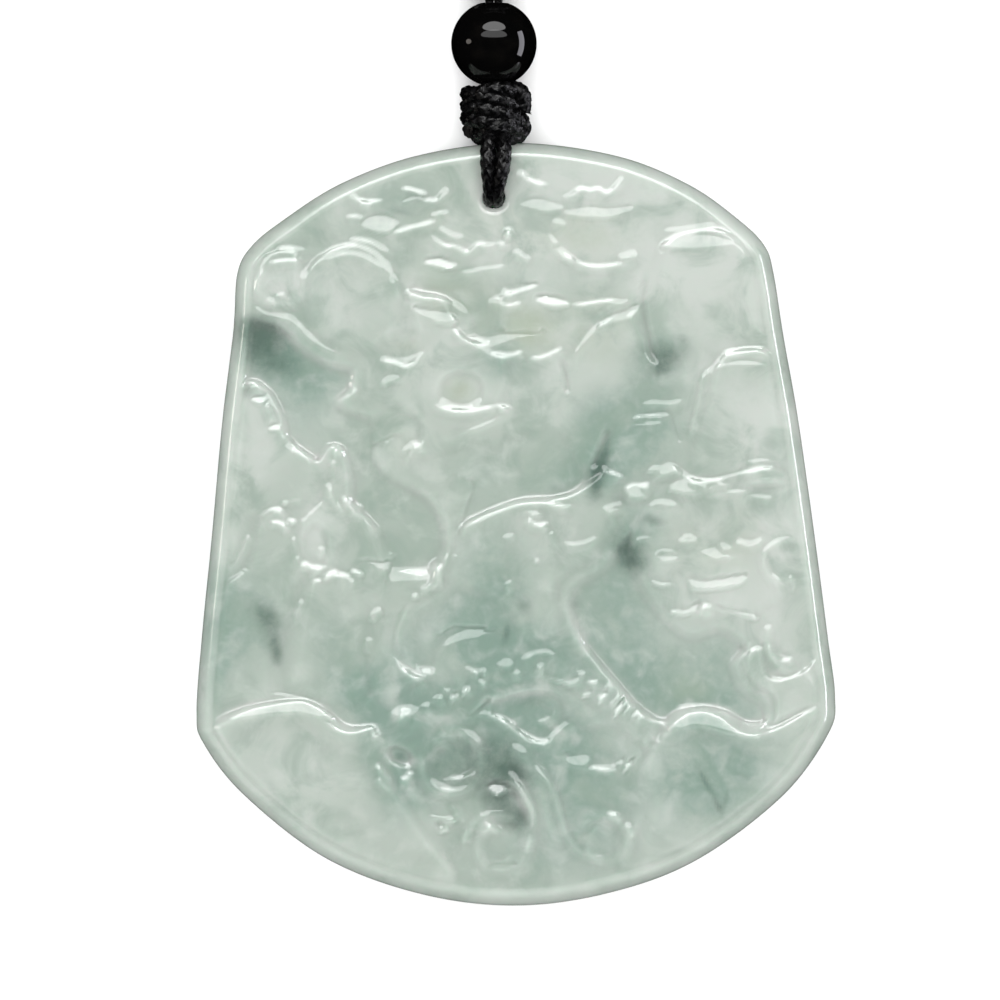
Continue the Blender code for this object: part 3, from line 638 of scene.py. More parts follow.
def slivers(half_width: float, *ends: tuple[Point, Point]) -> tuple[Facet, ...]:
    """Give narrow bright facets between pairs of ends, pointed at both ends.

    Args:
        half_width: half of a facet's width at its middle.
        ends: the two ends of each.

    Returns:
        The facets.
    """
    facets = []
    for (x, y), (other_x, other_y) in ends:
        length = math.hypot(other_x - x, other_y - y)
        aside_x = -(other_y - y) / length * half_width
        aside_y = (other_x - x) / length * half_width
        middle_x, middle_y = (x + other_x) / 2, (y + other_y) / 2
        facets.append(Facet(((x, y), (middle_x + aside_x, middle_y + aside_y),
                             (other_x, other_y), (middle_x - aside_x, middle_y - aside_y)),
                            BRIGHT))
    return tuple(facets)


UPPER_LEFT: tuple[Feature, ...] = (
    Area(((252, 268), (268, 252), (296, 252), (305, 275), (302, 306), (276, 313), (252, 300)), 0.18, 16),
    Oval(279, 291, 16, 14, 0, -0.04),
    *lips(0.07, ((266, 265), (284, 262), (304, 262))),
    *lips(0.04, ((265, 299), (270, 304), (276, 306)), ((276, 294), (280, 297), (284, 293))),
    *lips(0.05, ((272, 250), (290, 249), (307, 253)), ((252, 302), (256, 284), (262, 268)), ((297, 312),
         (302, 290), (303, 268))),
    Area(((304, 268), (325, 250), (352, 243), (382, 254), (400, 282), (403, 322), (390, 350), (352, 357),
         (320, 344), (303, 318), (299, 292)), 0.16, 24),
    *lips(0.05, ((318, 264), (345, 255), (367, 260), (388, 277))),
    *lips(0.06, ((346, 240), (370, 244), (392, 257)), ((391, 276), (398, 290), (402, 306))),
    Ridge(((245, 300), (262, 316), (286, 322), (306, 340), (330, 354), (357, 358)), 0.08, 12, 12),
)

RIDGE_CHAIN: tuple[Feature, ...] = (
    Area(((357, 368), (378, 362), (394, 350), (406, 324), (404, 292), (425, 295), (450, 302), (460, 330),
         (480, 347), (505, 358), (512, 384), (505, 402), (512, 412), (496, 430), (462, 442), (430, 449),
         (405, 456), (417, 440), (414, 422), (396, 413), (366, 409), (347, 401), (357, 384)), 0.17, 16,
         soft=((388, 356, 24), (350, 392, 20))),
    *lips(0.10, ((403, 290), (420, 297), (436, 298), (454, 305)), ((455, 326), (462, 338), (480, 346),
         (494, 350)), ((430, 402), (444, 410), (466, 413), (486, 410), (503, 406))),
    *lips(0.07, ((402, 300), (412, 304), (422, 306)), ((496, 352), (504, 360), (512, 362)), ((376, 361),
         (392, 364), (406, 368), (420, 360)), ((400, 457), (408, 448), (418, 441)), ((404, 466),
         (414, 452), (428, 449)), ((340, 398), (350, 396), (356, 388))),
    Facet(((413, 306), (430, 308), (446, 311), (457, 323), (440, 325), (424, 317)), DULL),
    Oval(403, 345, 32, 18, -8, -0.05),
    Oval(461, 390, 27, 22, 0, -0.11),
    Ridge(((404, 456), (440, 446), (478, 434), (505, 420), (514, 402)), 0.10, 10, 12),
    Oval(502, 409, 5, 4, 0, 0.08),
)

MIDDLE_FIELD: tuple[Feature, ...] = (
    Area(((407, 290), (412, 272), (440, 276), (480, 277), (516, 272), (540, 284), (500, 300), (506, 309),
         (545, 303), (567, 312), (566, 344), (545, 356), (518, 356), (492, 348), (468, 336), (458, 310),
         (436, 297)), -0.16, 22, soft=((534, 354, 30),)),
    Area(((406, 459), (440, 450), (482, 440), (514, 424), (545, 408), (566, 390), (590, 374), (630, 362),
         (660, 368), (684, 384), (684, 401), (650, 401), (626, 414), (608, 428), (602, 456), (592, 482),
         (570, 497), (532, 504), (504, 511), (478, 523), (456, 536), (442, 500), (420, 480)), -0.20, 30,
         soft=((430, 482, 30), (606, 430, 26), (642, 398, 40))),
    *lips(0.09, ((500, 355), (512, 357), (524, 352)), ((526, 361), (545, 358), (565, 348))),
    Ridge(((560, 358), (566, 376), (568, 395)), -0.08, 5, 5),
)

LEFT_VALLEY: tuple[Feature, ...] = (
    Area(((240, 316), (284, 325), (303, 343), (326, 358), (355, 366), (354, 386), (344, 402), (374, 413),
         (400, 417), (413, 426), (414, 441), (402, 457), (418, 482), (438, 503), (450, 526), (449, 552),
         (438, 574), (420, 586), (394, 600), (374, 604), (362, 584), (338, 570), (346, 546), (366, 532),
         (362, 518), (346, 503), (344, 470), (334, 446), (318, 462), (298, 450), (284, 436), (276, 412),
         (266, 393), (252, 382), (239, 386), (237, 350)), -0.34, 18, soft=((392, 604, 36), (340, 562, 24),
         (400, 450, 20))),
)

LEFT_MOUNTAINS: tuple[Feature, ...] = (
    Area(((238, 398), (255, 384), (268, 396), (276, 415), (285, 438), (300, 452), (316, 462), (320, 486),
         (306, 506), (282, 508), (262, 516), (250, 530), (241, 560), (224, 572), (222, 520), (228, 450)),
         0.12, 20),
    *lips(0.07, ((242, 386), (254, 383), (266, 394)), ((266, 401), (270, 412), (274, 424)), ((277, 426),
         (282, 436), (286, 444)), ((295, 447), (303, 454), (314, 458)), ((223, 566), (232, 567),
         (239, 556), (246, 540), (249, 530)), ((223, 560), (229, 504), (235, 452), (241, 410))),
    Facet(((250, 399), (258, 395), (266, 399), (259, 405)), BRIGHT),
    Facet(((267, 428), (274, 423), (280, 428), (273, 432)), BRIGHT),
    Area(((262, 517), (283, 509), (296, 528), (299, 552), (312, 572), (300, 590), (288, 622), (280, 660),
         (274, 702), (236, 706), (208, 706), (208, 650), (216, 592), (240, 566), (250, 532)), 0.16, 26),
    *lips(0.10, ((266, 524), (278, 524), (291, 532)), ((258, 518), (270, 511), (285, 509))),
    *lips(0.06, ((284, 502), (294, 501), (304, 500)), ((293, 534), (296, 548), (301, 566))),
    Oval(284, 504, 5, 4, 0, 0.10),
    Oval(292, 523, 5, 5, 0, 0.10),
    Area(((334, 447), (343, 456), (342, 480), (349, 498), (366, 510), (352, 524), (342, 546), (334, 566),
         (318, 572), (300, 556), (296, 526), (304, 515), (320, 498), (326, 478), (327, 456)), 0.11, 20),
    Oval(316, 545, 26, 15, 84, -0.08),
    *lips(0.08, ((332, 453), (339, 450), (345, 456)), ((327, 480), (331, 496), (338, 508), (346, 517)),
         ((345, 496), (354, 506), (364, 509)), ((301, 562), (312, 569), (321, 566))),
    Oval(332, 464, 5, 4, 0, 0.07),
    *lips(0.06, ((322, 546), (322, 554), (317, 559)), ((350, 512), (357, 516), (363, 518))),
    Area(((305, 583), (322, 576), (345, 572), (362, 586), (372, 612), (372, 650), (374, 690), (352, 712),
         (312, 706), (282, 690), (286, 650), (294, 610)), 0.20, 30),
    *lips(0.10, ((320, 579), (330, 574), (339, 572)), ((349, 571), (357, 574), (364, 578))),
    *lips(0.06, ((306, 582), (318, 571), (334, 567)), ((292, 630), (296, 612), (302, 597)), ((350, 578),
         (358, 583), (364, 591))),
)

POOL: tuple[Feature, ...] = (
    Area(((432, 583), (440, 562), (442, 588), (420, 602), (406, 622), (400, 646), (406, 666), (426, 680),
         (408, 694), (384, 704), (370, 694), (363, 660), (366, 630), (380, 608), (402, 598)), 0.18, 16,
         soft=((390, 604, 28),)),
    Area(((412, 612), (440, 592), (452, 584), (480, 596), (506, 612), (514, 636), (494, 652), (462, 660),
         (436, 675), (416, 671), (404, 652), (403, 630)), -0.24, 20, soft=((476, 656, 34),)),
    *lips(0.09, ((416, 593), (428, 587), (435, 576), (434, 560)), ((403, 666), (410, 677), (427, 681)),
         ((434, 560), (439, 572), (441, 592)), ((369, 624), (374, 614), (382, 608))),
    *lips(0.06, ((396, 655), (398, 632), (405, 612), (416, 599)), ((413, 690), (420, 688), (428, 683)),
         ((366, 656), (366, 646), (369, 636)), ((447, 552), (444, 568), (443, 582))),
    Oval(415, 597, 5, 4, 0, 0.09),
)

FRONT_MOUNTAIN: tuple[Feature, ...] = (
    Area(((446, 583), (452, 553), (456, 528), (480, 512), (505, 502), (532, 496), (552, 496), (574, 490),
         (594, 476), (602, 464), (612, 470), (628, 480), (612, 502), (622, 528), (604, 548), (598, 562),
         (572, 576), (560, 592), (564, 616), (556, 640), (520, 646), (508, 618), (478, 598)), 0.18, 20),
    *lips(0.04, ((460, 529), (470, 524), (479, 521)), ((446, 583), (449, 568), (455, 550))),
    *lips(0.09, ((500, 509), (518, 503), (540, 503), (556, 507), (568, 508), (579, 503))),
    Ridge(((592, 470), (600, 450), (610, 428)), -0.12, 6, 4),
    Area(((556, 512), (578, 502), (600, 486), (610, 500), (610, 530), (588, 548), (562, 546)), -0.12, 22,
         soft=((580, 546, 32),)),
    *lips(0.06, ((559, 540), (568, 545), (580, 545), (592, 541), (602, 535))),
    *lips(0.05, ((560, 548), (572, 552), (590, 548), (603, 541))),
    Area(((518, 526), (532, 511), (548, 524), (560, 552), (560, 590), (552, 622), (534, 636), (524, 600),
         (514, 556)), 0.10, 22),
    *lips(0.12, ((527, 516), (532, 524), (541, 527), (549, 523))),
    *lips(0.06, ((520, 513), (532, 512), (544, 517)), ((550, 528), (554, 541), (562, 557)), ((503, 588),
         (508, 584), (514, 582)), ((502, 541), (509, 537), (516, 537))),
    Oval(536, 562, 4, 3, 0, 0.08),
    Oval(509, 592, 6, 5, 0, 0.06),
    Oval(484, 560, 42, 26, -70, 0.10),
    Oval(648, 446, 50, 38, -14, 0.12),
)

RIGHT_VALLEY: tuple[Feature, ...] = (
    Area(((634, 526), (612, 546), (602, 562), (576, 578), (564, 594), (568, 618), (580, 644), (606, 676),
         (636, 710), (664, 722), (684, 712), (716, 711), (744, 724), (768, 722), (772, 702), (750, 686),
         (740, 664), (750, 646), (742, 633), (720, 622), (690, 629), (666, 608), (650, 586), (640, 560)),
         -0.34, 22),
    Ridge(((562, 588), (566, 616), (578, 644), (604, 676), (640, 716)), 0.04, 9, 9),
)

RIGHT_MOUNTAINS: tuple[Feature, ...] = (
    Area(((650, 262), (664, 238), (692, 229), (726, 226), (750, 238), (764, 262), (771, 310), (779, 346),
         (744, 348), (716, 356), (702, 378), (688, 390), (664, 372), (650, 348), (643, 304)), 0.22, 44),
    Facet(((662, 247), (676, 238), (698, 233), (718, 235), (736, 244), (715, 248), (688, 250)), DOME_GLINT),
    *lips(0.03, ((658, 233), (690, 229), (724, 223)), ((716, 222), (724, 222), (730, 229))),
    Area(((574, 344), (594, 324), (620, 312), (640, 303), (650, 345), (664, 370), (640, 384), (604, 391),
         (574, 392), (562, 366)), 0.14, 34),
    Facet(((598, 328), (612, 317), (636, 303), (634, 312), (618, 322)), DULL),
    *lips(0.05, ((590, 318), (612, 308), (634, 300))),
    Ridge(((648, 268), (643, 304), (651, 348), (660, 366)), -0.10, 6, 6),
    *lips(0.04, ((641, 304), (644, 286), (650, 270)), ((632, 312), (638, 330), (652, 350))),
    Area(((716, 358), (734, 350), (768, 349), (783, 366), (790, 410), (796, 462), (768, 480), (738, 484),
         (708, 482), (688, 468), (686, 446), (697, 404), (702, 380)), 0.22, 36),
    *lips(0.07, ((718, 355), (736, 351), (770, 348)), ((686, 447), (693, 425), (699, 400), (703, 380),
         (713, 362))),
    Facet(((716, 369), (732, 360), (752, 359), (768, 365), (748, 366), (732, 366)), DULL),
    *lips(0.06, ((637, 407), (654, 404), (670, 405), (687, 401))),
    Facet(((635, 420), (648, 412), (668, 411), (667, 415), (652, 417)), BRIGHT),
    Ridge(((672, 414), (676, 430), (682, 444)), -0.05, 5, 5),
)

FOLIAGE: tuple[Feature, ...] = (
    Area(((618, 500), (642, 482), (674, 466), (702, 478), (744, 470), (776, 466), (797, 482), (805, 530),
         (793, 548), (800, 590), (768, 614), (744, 630), (720, 620), (692, 628), (668, 607), (652, 584),
         (642, 560), (638, 528), (614, 532)), 0.14, 26),
    Oval(663, 472, 22, 12, -8, 0.12),
    Facet(((648, 472), (657, 465), (668, 464), (680, 474), (662, 473)), DULL),
    Oval(637, 494, 17, 11, -20, 0.12),
    Facet(((624, 490), (637, 484), (647, 498), (634, 496)), DULL),
    Oval(690, 490, 26, 12, 4, 0.12),
    Facet(((670, 490), (685, 479), (694, 488), (708, 488), (690, 495), (678, 493)), DULL),
    Oval(614, 510, 14, 9, -20, 0.06),
    Facet(((610, 510), (618, 507), (624, 511), (616, 514)), DULL),
    Oval(663, 512, 26, 16, 0, 0.08),
    Facet(((650, 510), (658, 507), (666, 510), (658, 513)), DULL),
    Oval(762, 476, 26, 14, 0, 0.16),
    *lips(0.035, ((680, 478), (706, 482), (732, 482))),
    *lips(0.05, ((742, 465), (764, 462), (786, 466)), ((736, 488), (758, 482), (796, 480)), ((734, 504),
         (752, 498), (778, 500))),
    *lips(0.05, ((706, 494), (718, 487), (732, 487)), ((700, 500), (726, 494), (760, 492)), ((640, 520),
         (655, 527), (676, 524))),
    Oval(687, 532, 15, 11, 0, -0.03),
    *lips(0.05, ((678, 540), (688, 544), (697, 539)), ((682, 535), (688, 538), (694, 534))),
    Oval(750, 528, 21, 15, 0, -0.03),
    *lips(0.05, ((735, 540), (750, 547), (764, 540))),
    Oval(664, 562, 24, 16, -10, 0.08),
    Facet(((656, 556), (668, 554), (678, 560), (664, 564)), DULL),
    Oval(718, 564, 44, 28, 0, 0.10),
    Facet(((702, 549), (715, 545), (722, 554), (732, 558), (716, 561), (708, 557)), DULL),
    Facet(((647, 575), (656, 581), (674, 581), (668, 587), (654, 585)), BRIGHT),
    Facet(((688, 576), (704, 579), (724, 576), (747, 573), (743, 584), (718, 590), (693, 590)), DULL),
    Facet(((670, 613), (688, 606), (700, 601), (697, 611), (682, 617)), DULL),
    Facet(((717, 605), (736, 609), (750, 611), (758, 620), (740, 617), (726, 612)), DULL),
    Oval(706, 611, 11, 9, 0, 0.10),
    *lips(0.06, ((697, 612), (706, 617), (716, 612))),
    Ridge(((800, 540), (780, 542), (766, 556), (770, 574), (788, 586)), 0.03, 9, 9),
    *lips(0.05, ((772, 546), (764, 557), (767, 571), (777, 581), (790, 588)), ((790, 574), (794, 584),
         (790, 594))),
    *lips(0.04, ((764, 556), (772, 546), (786, 540), (800, 540))),
    Ridge(((770, 622), (768, 642), (778, 660), (798, 668)), 0.08, 9, 9),
    *lips(0.09, ((767, 640), (774, 660), (789, 671), (802, 667))),
    *lips(0.05, ((772, 654), (782, 661), (796, 660)), ((626, 548), (640, 540), (656, 538)), ((738, 660),
         (748, 650), (750, 640))),
    Facet(((803, 668), (812, 667), (824, 680), (829, 700), (816, 688)), DULL, -0.012),
)

BANKS: tuple[Feature, ...] = (
    Area(((203, 735), (212, 724), (250, 708), (296, 702), (322, 711), (346, 728), (374, 724), (388, 744),
         (390, 768), (412, 806), (436, 842), (462, 878), (430, 896), (326, 860), (243, 796)), 0.30, 30),
    Ridge(((206, 728), (250, 710), (296, 703), (320, 711), (346, 729), (372, 727)), 0.20, 6, 26),
    *lips(0.05, ((260, 695), (296, 697), (318, 705), (336, 707)), ((361, 708), (368, 700), (376, 696))),
    Facet(((228, 719), (250, 708), (290, 702), (316, 706), (334, 720), (300, 712), (258, 716)), DULL),
    Area(((655, 736), (668, 727), (690, 714), (718, 716), (744, 730), (772, 726), (806, 708), (834, 700),
         (831, 733), (785, 796), (700, 860), (640, 884), (634, 852), (642, 812), (636, 770)), 0.28, 30),
    Ridge(((660, 734), (688, 716), (716, 717), (744, 731), (774, 728)), 0.22, 8, 26),
    *lips(0.05, ((670, 709), (694, 706), (718, 708))),
    Facet(((670, 728), (682, 716), (700, 711), (720, 716), (740, 730), (760, 738), (730, 735),
         (698, 727)), DULL),
    Area(((742, 664), (752, 648), (764, 650), (772, 676), (800, 672), (828, 650), (836, 700), (800, 714),
         (774, 724), (772, 700), (752, 686)), 0.22, 12),
)

WAVES: tuple[Feature, ...] = (
    Area(((404, 748), (430, 738), (452, 722), (478, 704), (506, 694), (540, 688), (566, 694), (590, 712),
         (622, 742), (640, 768), (646, 800), (634, 836), (618, 880), (552, 900), (500, 900), (452, 884),
         (430, 836), (414, 800), (396, 768)), -0.22, 30),
    Area(((484, 717), (484, 704), (506, 694), (540, 688), (566, 694), (590, 712), (602, 728), (580, 736),
         (558, 738), (544, 744), (522, 734), (502, 722)), -0.18, 9, soft=((588, 734, 26),)),
    Curl(450, 764, 33, -115, 0.96, 0.14, 10.0, 0.15),
    Oval(452, 763, 23, 22, 0, -0.06),
    *lips(0.08, ((432, 738), (442, 743), (454, 751)), ((446, 777), (460, 779), (476, 770)), ((436, 736),
         (448, 736), (458, 741))),
    Facet(((465, 715), (474, 713), (489, 699), (491, 712), (497, 719), (478, 717)), DULL),
    *lips(0.07, ((488, 713), (504, 722), (518, 734), (532, 743), (546, 745), (557, 739))),
    *lips(0.06, ((496, 712), (508, 722), (520, 726)), ((500, 694), (492, 700), (488, 710)), ((530, 722),
         (544, 722), (554, 714), (552, 704), (540, 702))),
    Ridge(((510, 738), (526, 762), (541, 790), (548, 822), (560, 856)), 0.20, 16, 16),
    Ridge(((506, 770), (522, 790), (532, 812), (532, 836)), 0.14, 8, 8),
    Oval(502, 806, 32, 24, 66, -0.14),
    Facet(((486, 786), (498, 781), (512, 788), (496, 797)), BRIGHT),
    *lips(0.13, ((534, 762), (546, 776), (556, 795), (562, 818), (568, 836), (580, 852), (600, 862))),
    *lips(0.11, ((584, 848), (592, 856), (606, 861)), ((497, 779), (516, 786), (529, 802), (533, 820),
         (528, 838))),
    Curl(499, 847, 36, 150, 1.5, 0.09, 9.0, 0.55),
    *lips(0.11, ((474, 833), (484, 825), (498, 824)), ((480, 834), (490, 829), (501, 832)), ((463, 846),
         (464, 836), (469, 829)), ((524, 852), (529, 842), (531, 832))),
    Facet(((488, 866), (500, 862), (517, 863), (506, 871), (494, 870)), WATER_GLINT),
    *lips(0.11, ((490, 862), (502, 862), (513, 857))),
    Curl(606, 842, 30, 170, 1.3, 0.09, 10.0, 0.6),
    *lips(0.12, ((606, 817), (615, 816), (623, 822)), ((624, 823), (631, 831), (635, 840))),
    *lips(0.05, ((592, 832), (596, 828), (601, 827))),
    Oval(600, 746, 38, 26, 8, -0.08),
    *lips(0.05, ((562, 757), (576, 766), (600, 771), (626, 774))),
    *slivers(2.6, ((624, 772), (634, 757)), ((619, 766), (624, 757))),
    Facet(((564, 752), (574, 754), (588, 754), (590, 764), (578, 768), (568, 764)), DULL),
    *lips(0.06, ((643, 738), (648, 744), (651, 752)), ((388, 752), (400, 750), (410, 758)), ((418, 752),
         (424, 764), (421, 774))),
    Oval(400, 756, 16, 10, 30, -0.18),
    *lips(0.11, ((377, 763), (384, 773), (393, 783)), ((399, 778), (407, 780), (411, 770)), ((376, 776),
         (383, 784), (392, 792))),
    Oval(442, 822, 18, 14, 20, 0.10),
    Facet(((430, 812), (440, 813), (450, 815), (456, 822), (444, 822)), BRIGHT),
    Facet(((436, 822), (444, 824), (447, 831), (439, 833)), BRIGHT, 0.01),
    *lips(0.06, ((448, 805), (456, 808), (461, 816)), ((452, 812), (460, 816), (464, 824))),
)

ROOF: tuple[Feature, ...] = (
    *lips(0.07, ((396, 722), (404, 716), (412, 712)), ((424, 702), (428, 710), (430, 718)), ((438, 694),
         (442, 702), (444, 710)), ((452, 688), (456, 694), (458, 702)), ((464, 682), (468, 690),
         (470, 700)), ((480, 668), (485, 676), (486, 684)), ((500, 662), (506, 664), (512, 668)),
         ((515, 670), (518, 676), (518, 684)), ((536, 664), (541, 670), (542, 680)), ((570, 686),
         (576, 682), (581, 676)), ((584, 692), (592, 688), (598, 680)), ((596, 700), (603, 694),
         (610, 684)), ((608, 708), (615, 702), (620, 694)), ((620, 718), (627, 712), (632, 704)),
         ((632, 726), (640, 720), (645, 712)), ((408, 730), (414, 724), (416, 716))),
    Facet(((466, 664), (474, 667), (482, 676), (474, 675)), BRIGHT),
    Facet(((546, 674), (556, 677), (566, 684), (556, 682)), BRIGHT),
    Facet(((521, 664), (532, 658), (545, 655), (553, 659), (543, 664), (530, 665)), DULL),
    *lips(0.06, ((519, 664), (532, 656), (546, 653), (559, 661))),
    *slivers(3.4, ((568, 686), (577, 676)), ((579, 668), (583, 677)), ((588, 685), (596, 677)),
         ((582, 697), (593, 689)), ((598, 704), (608, 689)), ((614, 718), (624, 697)), ((631, 720),
         (639, 706)), ((480, 674), (484, 688)), ((463, 696), (467, 683)), ((451, 703), (455, 691)),
         ((500, 664), (510, 668)), ((563, 684), (575, 682))),
    Oval(402, 718, 18, 15, -30, 0.10),
)

CLOUDS: tuple[Feature, ...] = (
    *lips(0.08, ((350, 189), (356, 200), (368, 203), (384, 202)), ((358, 203), (372, 208)), ((399, 190),
         (410, 191), (428, 197)), ((400, 206), (412, 200), (426, 202), (438, 201), (447, 186)),
         ((384, 234), (398, 233), (412, 229), (428, 225), (443, 219)), ((520, 169), (525, 178),
         (535, 184), (549, 187)), ((560, 195), (566, 198), (573, 196), (581, 190), (590, 192), (598, 190),
         (606, 194), (614, 190), (620, 180), (617, 172)), ((430, 231), (435, 240), (444, 247), (455, 248),
         (467, 254), (478, 246), (490, 247), (500, 242)), ((514, 249), (520, 256), (532, 263)),
         ((497, 300), (506, 307), (524, 304)), ((567, 307), (584, 306), (604, 303), (624, 302)),
         ((546, 227), (552, 241), (565, 255), (582, 266), (601, 268), (622, 265), (644, 256))),
    *lips(0.05, ((344, 219), (356, 218), (366, 222)), ((454, 271), (466, 274), (480, 271), (496, 269),
         (512, 265)), ((552, 222), (560, 224), (566, 228)), ((430, 218), (440, 214), (449, 216)),
         ((436, 226), (450, 236), (466, 240)), ((500, 289), (508, 294), (516, 293)), ((640, 256),
         (628, 259), (616, 262))),
    Facet(((360, 224), (370, 215), (386, 214), (398, 222), (388, 233), (372, 232)), DULL),
    Facet(((521, 203), (534, 197), (550, 200), (563, 209), (548, 213), (534, 210)), LENS_GLINT),
    Facet(((564, 215), (574, 208), (592, 205), (608, 207), (632, 205), (616, 217), (594, 219)), LENS_GLINT),
    Facet(((554, 246), (562, 250), (574, 262), (563, 260)), DULL),
    Facet(((423, 262), (438, 256), (457, 266), (444, 270)), BRIGHT),
    Facet(((536, 296), (560, 297), (568, 307), (546, 307)), BRIGHT),
    Oval(508, 236, 6, 9, 0, 0.14),
    Oval(503, 246, 6, 5, 0, 0.08),
)

BORE_RIM: tuple[Feature, ...] = (Oval(493.5, 199, 16, 15, 0, -0.10),)

CARVING: dict[str, tuple[Feature, ...]] = {
    "left valley": LEFT_VALLEY, "middle field": MIDDLE_FIELD, "right valley": RIGHT_VALLEY,
    "upper left boulders": UPPER_LEFT, "ridge chain": RIDGE_CHAIN,
    "left mountains": LEFT_MOUNTAINS, "pool": POOL, "front mountain": FRONT_MOUNTAIN,
    "right mountains": RIGHT_MOUNTAINS, "foliage": FOLIAGE, "banks": BANKS, "waves": WAVES,
    "bridge": (Bridge(),), "roof": ROOF, "clouds": CLOUDS, "bore rim": BORE_RIM,
}


@dataclass
class JadePlaque:
    """The carved stone: a fine grid fitted to the outline, its rim, bore and cord groove."""

    layout: Layout
    outline: Outline
    columns: int = 258
    rows: int = 306
    rim_level: float = 0.0047
    field_level: float = 0.0051
    relief_depth: float = 0.0017
    rim_fade: float = 120.0
    calm_start: float = 12.0
    calm_reach: float = 12.0
    fall_start: float = 790.0
    fall_reach: float = 110.0
    fall_calm: float = 0.5
    fall_depth: float = 0.35
    highest: float = 0.00648
    capped: float = 0.0003
    front_rounding: float = 0.0011
    front_profile: Sequence[Point] = ((0.00010, 0.000012), (0.00021, 0.000050), (0.00033, 0.00012),
                                      (0.00046, 0.00024), (0.00070, 0.00060), (0.00090, 0.00098),
                                      (0.00102, 0.00130), (0.00110, 0.00170))
    back_rounding: float = 0.0008
    rounding_steps: int = 5
    bore_across: float = -0.00167
    bore_up: float = 0.02482
    bore_diameter: float = 0.00172
    bore_sides: int = 40
    drill_length: float = 0.016
    drill_level: float = 0.003
    groove_depth: float = 0.0017
    groove_length: float = 0.0083
    groove_rounding: float = 0.48
    groove_segments: int = 8
    front_start: float = 0.0030
    front_reach: float = 0.0012
    rim_width: float = 15.0
    rim_blend: float = 6.0
    smooth_under: float = 62.0

    def build(self, finish: "JadeFinish") -> bpy.types.Object:
        """Make the whole stone.

        Args:
            finish: the jade's finish.

        Returns:
            The finished piece.
        """
        piece = self.face()
        self.round_rim(piece)
        self.cut(piece, self.bore_cutter())
        self.cut(piece, self.groove_cutter())
        self.mark(piece, finish)
        activate(piece)
        bpy.ops.object.shade_smooth_by_angle(angle=math.radians(self.smooth_under))
        finish_piece(piece, finish.material(), ("jade_plaque",))
        return piece

    def relief(self, across: Array, down: Array) -> Relief:
        """Carve all the forms over some layout points.

        Args:
            across: units to the right of each point.
            down: units down of each point.

        Returns:
            The carved relief.
        """
        relief = Relief(across, down)
        for features in CARVING.values():
            for feature in features:
                feature.carve(relief)
        return relief

    def heights(self, x: Array, y: Array) -> Array:
        """Give the height of the carved face, which nears the highest level and never passes it.

        Args:
            x: the places' x in metres.
            y: their y in metres.

        Returns:
            The height at each place in metres.
        """
        across, down = self.layout.to_units(x, y)
        relief = self.relief(across, down)
        edge = self.from_edge(relief)
        level = self.rim_level + (self.field_level - self.rim_level) * ease(edge / self.rim_fade)
        fall = ease((down - self.fall_start) / self.fall_reach)
        calm = ease((edge - self.calm_start) / self.calm_reach) * (1.0 - self.fall_calm * fall)
        height = level + self.relief_depth * (relief.height * calm - self.fall_depth * fall)
        spare = self.highest - self.capped
        over = np.maximum(height - spare, 0.0)
        return np.minimum(height, spare) + self.capped * (1.0 - np.exp(-over / self.capped))

    def from_edge(self, relief: Relief) -> Array:
        """Give how far each point of a relief lies from the plaque's edge, in layout units."""
        return relief.measure(np.arange(len(relief.across)), self.outline.closed_units())[0]

    def face(self) -> bpy.types.Object:
        """Make the carved face from a grid.

        Returns:
            The face, open at its edge.
        """
        deselect()
        bpy.ops.mesh.primitive_grid_add(x_subdivisions=self.columns, y_subdivisions=self.rows,
                                        size=1.0)
        piece = bpy.context.object
        piece.name = "carved_jade"
        places = read_places(piece)
        flat = self.outline.fit(places[:, 0] + 0.5, places[:, 1] + 0.5, self.front_rounding)
        places[:, :2] = flat
        places[:, 2] = self.heights(flat[:, 0], flat[:, 1])
        write_places(piece, places)
        return piece

    def round_rim(self, piece: bpy.types.Object) -> None:
        """Carry the open edge over the rounding, down the side and in under the flat back.

        Args:
            piece: the carved face.
        """
        activate(piece)
        with edit_mode():
            bpy.ops.mesh.select_all(action="SELECT")
            bpy.ops.mesh.region_to_loop()
        chosen = selected_corners(piece)
        start = read_places(piece)[chosen]
        facing = self.outline.facing(start[:, :2], self.front_rounding)
        numbers = piece.data.attributes.new("rim_number", "INT", "POINT")
        values = np.zeros(len(piece.data.vertices), dtype=np.int32)
        values[chosen] = np.arange(len(chosen))
        numbers.data.foreach_set("value", values)
        for outwards, level in self.rim_rings(start[:, 2]):
            with edit_mode():
                bpy.ops.mesh.select_mode(type="EDGE")
                bpy.ops.mesh.extrude_edges_move()
            chosen = selected_corners(piece)
            values = np.zeros(len(piece.data.vertices), dtype=np.int32)
            piece.data.attributes["rim_number"].data.foreach_get("value", values)
            places = read_places(piece)
            number = values[chosen]
            places[chosen, :2] = start[number, :2] + facing[number] * outwards
            places[chosen, 2] = level[number]
            write_places(piece, places)
        with edit_mode():
            bpy.ops.mesh.edge_face_add()
            face_outwards()
        piece.data.attributes.remove(piece.data.attributes["rim_number"])

    def rim_rings(self, top: Array) -> list[tuple[float, Array]]:
        """Give the rings of the rim, from the front to the back.

        Args:
            top: height of the face's edge at each of its points.

        Returns:
            For each ring how far out it lies and its height at each point.
        """
        rings = [(outwards, top - drop) for outwards, drop in self.front_profile]
        for step in range(self.rounding_steps + 1):
            angle = math.pi / 2 * step / self.rounding_steps
            outwards = self.front_rounding - self.back_rounding * (1 - math.cos(angle))
            level = self.back_rounding * (1 - math.sin(angle))
            rings.append((outwards, np.full_like(top, level)))
        return rings

